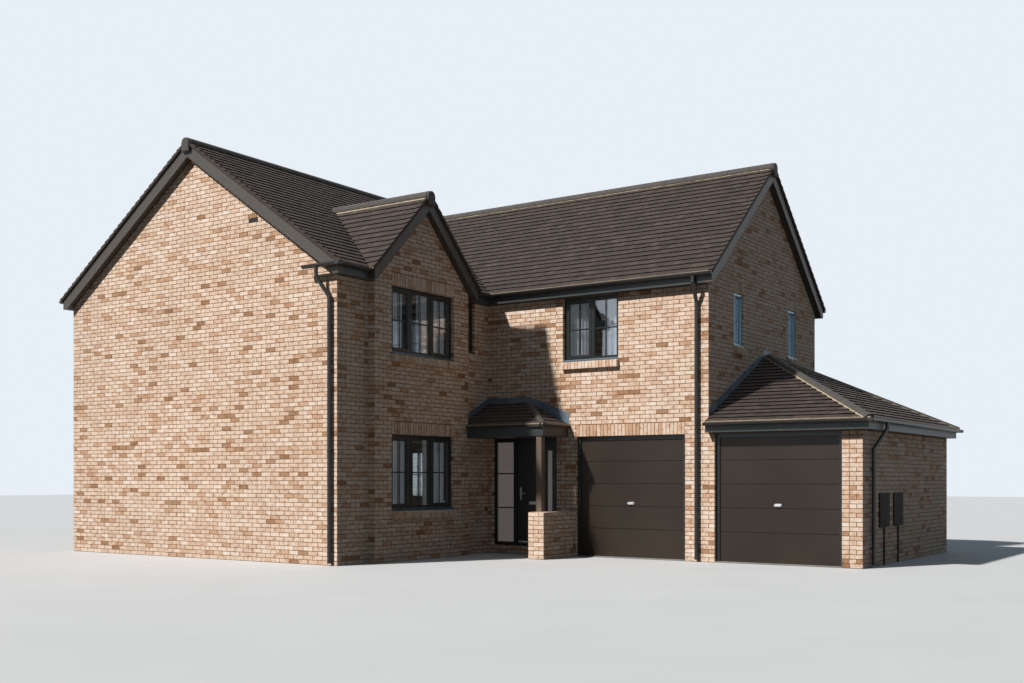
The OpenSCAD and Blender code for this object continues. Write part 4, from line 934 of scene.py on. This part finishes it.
ridge_piece = ridges.piece("ridge_and_hip_tiles", [RIDGE_M], "ridge_tile", smooth=40)
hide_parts("ridge_tiles")
beds.piece("ridge_mortar_beds", [BED_M], "ridge_tile")


def lead_sheet(net, corners, outer):
    """Lead over four corners of the net's plane, out to where it covers the brick faces."""
    net.add([(u, v, n) for n in (0.001, outer) for u, v in corners], BLOCK)


# Sheet lead in laps over the canopy, dressed to the walls' brick faces. laps has each one's start, upper and lower edge
LAP = 0.04
lead = Net(front_o, FRONT, UP)
laps = [(0.005, 3.045, 2.921), (0.51, 3.045, 2.921), (0.985, 3.045, 2.918), (1.31, 2.930, 2.756),
        (1.62, 2.808, 2.601), (1.895, 2.700, 2.464)]
for i, (a, b) in enumerate(zip(laps, laps[1:])):
    lap = LAP if i < len(laps) - 2 else 0.0
    high, low = (b[j] + (b[j] - a[j]) / (b[0] - a[0]) * lap for j in (1, 2))
    lead_sheet(lead, ((a[0], a[2]), (b[0] + lap, low), (b[0] + lap, high), (a[0], a[1])), 0.0070 + 0.0018 * (i % 2))
lead.place((0, 0, 0), SIDE, UP)
lead_sheet(lead, ((3.492, 2.500), (4.327, 2.917), (4.327, 3.045), (3.492, 2.628)), 0.0072)
lead.piece("canopy_lead_laps", [LEAD_M], "lead")

# ---------------- windows
sashes, bars, cills, gable_beads = Net(), Net(), Net(), Net()
BAR, SASH, BEAD, SASH_LAP = 0.022, 0.044, 0.018, 0.012


def window(w, kinds, net=sashes, bars=bars):
    """Sashes or beads and 2 x 2 glazing bars for each light, and the frame's cill. kinds has one letter a light: s for
    a sash, f for fixed."""
    n = len(kinds)
    light = (w.width - FRAME_W * (n + 1)) / n
    net.place(w.origin, w.along, UP)
    bars.place(w.origin, w.along, UP)
    face = -REVEAL
    for i, kind in enumerate(kinds):
        x0 = w.u0 + FRAME_W + i * (light + FRAME_W)
        x1, y0, y1 = x0 + light, w.sill + FRAME_W, w.head - FRAME_W
        rim, bead = BEAD, BEAD
        if kind == "s":
            rim, bead = SASH, SASH + 0.010
            net.ring((x0 - SASH_LAP, y0 - SASH_LAP), (x1 + SASH_LAP, y1 + SASH_LAP), face - 0.001, face + 0.010,
                     (SASH + SASH_LAP,) * 4, 0.001)
        net.ring((x0, y0), (x1, y1), face - 0.0225, face - 0.006, (bead,) * 4)
        xm, ym = (x0 + x1) / 2, (y0 + y1) / 2
        for lo, hi in ((face - 0.0225, face - 0.012), (face - 0.058, face - 0.0475)):
            bars.bevelled((xm - BAR / 2, y0 + rim, lo), (xm + BAR / 2, y1 - rim, hi), 0.002)
            bars.bevelled((x0 + rim, ym - BAR / 2, lo), (x1 - rim, ym + BAR / 2, hi - 0.001), 0.002)
    # The frame's own sloping cill, which throws water on the brick one; its blue-grey is painted sky reflection
    cills.place(w.origin, w.along, UP)
    profile = [(0.004, -REVEAL), (0.004, -0.004), (-0.010, 0.012), (0.010, 0.012), (0.022, 0.004), (0.040, -REVEAL)]
    cills.prism([(w.sill + y, out) for y, out in profile[::-1]], w.u0 + 0.004, w.u1 - 0.004)


window(bay_low, "sfs")
window(bay_high, "sfs")
window(side_window, "f")
window(front_window, "sf")
# The gable windows' beads and sub-frames carry the painted sky reflection too
for w in gable_windows:
    window(w, "f", gable_beads, gable_beads)
    # A sub-frame that brings these two further forward in their reveals
    gable_beads.ring((w.u0 + 0.001, w.sill - 0.012), (w.u1 - 0.001, w.head - 0.001), -REVEAL - 0.001, -0.028,
                     (0.044, 0.044, 0.057, 0.044), 0.001)
for w in rear_windows:
    window(w, "sfs" if w.width > 1.5 else "sf")
sashes.piece("window_sashes", [WINDOW_M], "window_frame")
bars.piece("glazing_bars", [WINDOW_M], "window_frame")
gable_beads.piece("gable_beads_and_bars", [SKY_REFLECTION_FRAME_M], "window_frame")
cills.piece("frame_cills", [CILL_SKY_REFLECTION_M], "window_frame")

# Sidelight bars and the beads round its glass
entry = Net(front_o, FRONT, UP)
glass_lo, glass_hi = (0.1745, 0.212), (0.5745, 2.188)
for z in (0.895, 1.560):
    entry.bevelled((glass_lo[0], z - 0.012, -REVEAL - 0.030), (glass_hi[0], z + 0.012, -REVEAL - 0.016))
entry.ring(glass_lo, glass_hi, -REVEAL - 0.0255, -REVEAL - 0.006, (0.007, 0.012, 0.016, 0.016))
entry.piece("sidelight_bars", [WINDOW_M], "window_frame")

# ---------------- curtains
rails = Net()
CURTAIN_IN, PLEAT = -0.232, 0.026


def curtain(name, w, u0, u1):
    """A pleated curtain behind a window, hung from the rail under its head."""
    z0, z1 = w.sill + 0.015, w.head - 0.022
    folds = max(3, round((u1 - u0) / 0.08))
    cols, rows = folds * 10, 12
    rnd = random.Random(name)
    phases = [rnd.uniform(-0.4, 0.4) for _ in range(folds + 2)]
    pts, faces = [], []
    for r in range(rows + 1):
        z, loose = z0 + (z1 - z0) * r / rows, 1 - r / rows
        for c in range(cols + 1):
            t = c / cols
            wave = sin(2 * pi * t * folds + phases[int(t * folds)] * 0.3) * PLEAT * (1.0 + 0.25 * loose)
            drift = 0.006 * sin(9 * t + 2.1 * loose)
            pts.append((u0 + (u1 - u0) * t + drift * loose, z, CURTAIN_IN + wave))
    for r in range(rows):
        for c in range(cols):
            i = r * (cols + 1) + c
            faces.append((i, i + 1, i + cols + 2, i + cols + 1))
    net = Net(w.origin, w.along, UP)
    net.add(pts, faces)
    obj = net.piece(name, [CURTAIN_GLOW_M], "plaster", smooth=60)


def curtains(tag, w, left, right):
    """A pair of curtains, each over a share of the window's width, and their rail."""
    lo, hi = w.u0 + 0.012, w.u1 - 0.012
    curtain(tag + "_curtain_a", w, lo, lo + left * w.width)
    curtain(tag + "_curtain_b", w, hi - right * w.width, hi)
    rails.place(w.origin, w.along, UP)
    rails.bevelled((w.u0 + 0.001, w.head - 0.026, -0.272), (w.u1 - 0.001, w.head - 0.001, -0.196))


curtains("bay_low", bay_low, 0.34, 0.36)
curtains("front", front_window, 0.36, 0.30)
curtains("bay_high", bay_high, 0.30, 0.46)
rails.piece("curtain_rails", [METAL_M], "metal")


# ---------------- door fittings
def capsule(net, half, r, n0, n1):
    """A flat bar with round ends along u, from height n0 to n1 of the net's plane."""
    turns = [pi * (k / 10 - 0.5) for k in range(11)]
    rim = [(half - r + r * cos(t), r * sin(t)) for t in turns]
    rim += [(-x, -y) for x, y in rim]
    m, e = len(rim), 0.0022
    rings = [(n0, 0.0), (n1 - e, 0.0), (n1, e)]
    pts = [(x * (1 - inset / half), y * (1 - inset / r), n) for n, inset in rings for x, y in rim]
    faces = [tuple(reversed(range(m))), tuple(range(2 * m, 3 * m))]
    faces += [(m * k + i, m * k + (i + 1) % m, m * (k + 1) + (i + 1) % m, m * (k + 1) + i)
              for k in range(2) for i in range(m)]
    net.add(pts, faces)


handles = Net()
for w in garage_doors:
    handles.place((w.u0 + w.width / 2, RANGE_Y + DOOR_REVEAL + 0.024, 1.008), FRONT, UP)
    capsule(handles, 0.068, 0.026, -0.001, 0.006)
    capsule(handles, 0.060, 0.015, 0.020, 0.042)
handles.piece("garage_handles", [METAL_M], "metal")

bar = Net((0, 4.437, 0), FRONT, UP)
bar.prism([(0.222, -0.001), (0.252, -0.001), (0.250, 0.004), (0.232, 0.011), (0.222, 0.011)][::-1], 0.662, 1.524)
bar.piece("weather_bar", [METAL_M], "metal", body="door_leaf")


# ---------------- stage, light and camera
def lit_or_seen(tree, lit, seen):
    """One shader for the light that falls on the object and another for what is seen, directly, in a glossy face or
    through a clear one."""
    path = node(tree, "LightPath").outputs
    straight = node(tree, "Math", {0: path["Is Camera Ray"], 1: path["Is Glossy Ray"]}, operation="MAXIMUM")
    either = node(tree, "Math", {0: straight.outputs[0], 1: path["Is Transmission Ray"]},
                  operation="MAXIMUM")
    return node(tree, "MixShader", {"Fac": either.outputs[0], 1: lit.outputs[0], 2: seen.outputs[0]})


def stage_look():
    """Pale where it is seen or mirrored, dimmer in the light that it throws back onto the walls."""
    m = Look("stage_floor", mean="cbcbcb", rough=0.9)
    m.colour(m.ramp(m.noise(0.6), [(0.3, "c9c9c9"), (0.7, "cdcdcd")]))
    dim = m.node("BsdfDiffuse", {"Color": hexa("504d48")})
    mix = lit_or_seen(m.tree, dim, m.bsdf)
    m.tree.links.new(mix.outputs[0], m.tree.nodes["Material Output"].inputs["Surface"])
    return m.mat


bpy.ops.mesh.primitive_plane_add(size=160, location=(0, 0, -0.002))
floor = bpy.context.object
floor.name = "stage_floor"
floor.data.materials.append(stage_look())

sun = bpy.data.lights.new("key", "SUN")
sun.energy = 4.5
sun.angle = radians(2.2)
sun.color = (1.0, 0.98, 0.955)
lamp = bpy.data.objects.new("key", sun)
az, el = radians(25.7), radians(43.7)
towards = Vector((-sin(az) * cos(el), -cos(az) * cos(el), sin(el)))
lamp.rotation_mode = "QUATERNION"
lamp.rotation_quaternion = towards.to_track_quat("Z", "Y")
scene.collection.objects.link(lamp)

world = bpy.data.worlds.new("studio")
scene.world = world
world.use_nodes = True
tree = world.node_tree
tree.nodes.clear()
sky = node(tree, "Background", {"Color": (0.45, 0.74, 1.0, 1), "Strength": 0.12})
backdrop = node(tree, "Background", {"Color": (0.80, 0.86, 0.93, 1), "Strength": 1.0})
mix = lit_or_seen(tree, sky, backdrop)
node(tree, "OutputWorld", {"Surface": mix.outputs[0]})

cam_data = bpy.data.cameras.new("camera")
cam_data.lens = 40.828
cam_data.sensor_width = 36.0
cam_data.shift_y = 0.13394
cam_data.clip_end = 400
cam = bpy.data.objects.new("camera", cam_data)
cam.location = (13.2589, -19.2223, 1.4619)
cam.rotation_euler = (radians(90), 0, radians(34.372))
scene.collection.objects.link(cam)
scene.camera = cam
scene.view_settings.view_transform = "Standard"

bpy.context.view_layer.update()
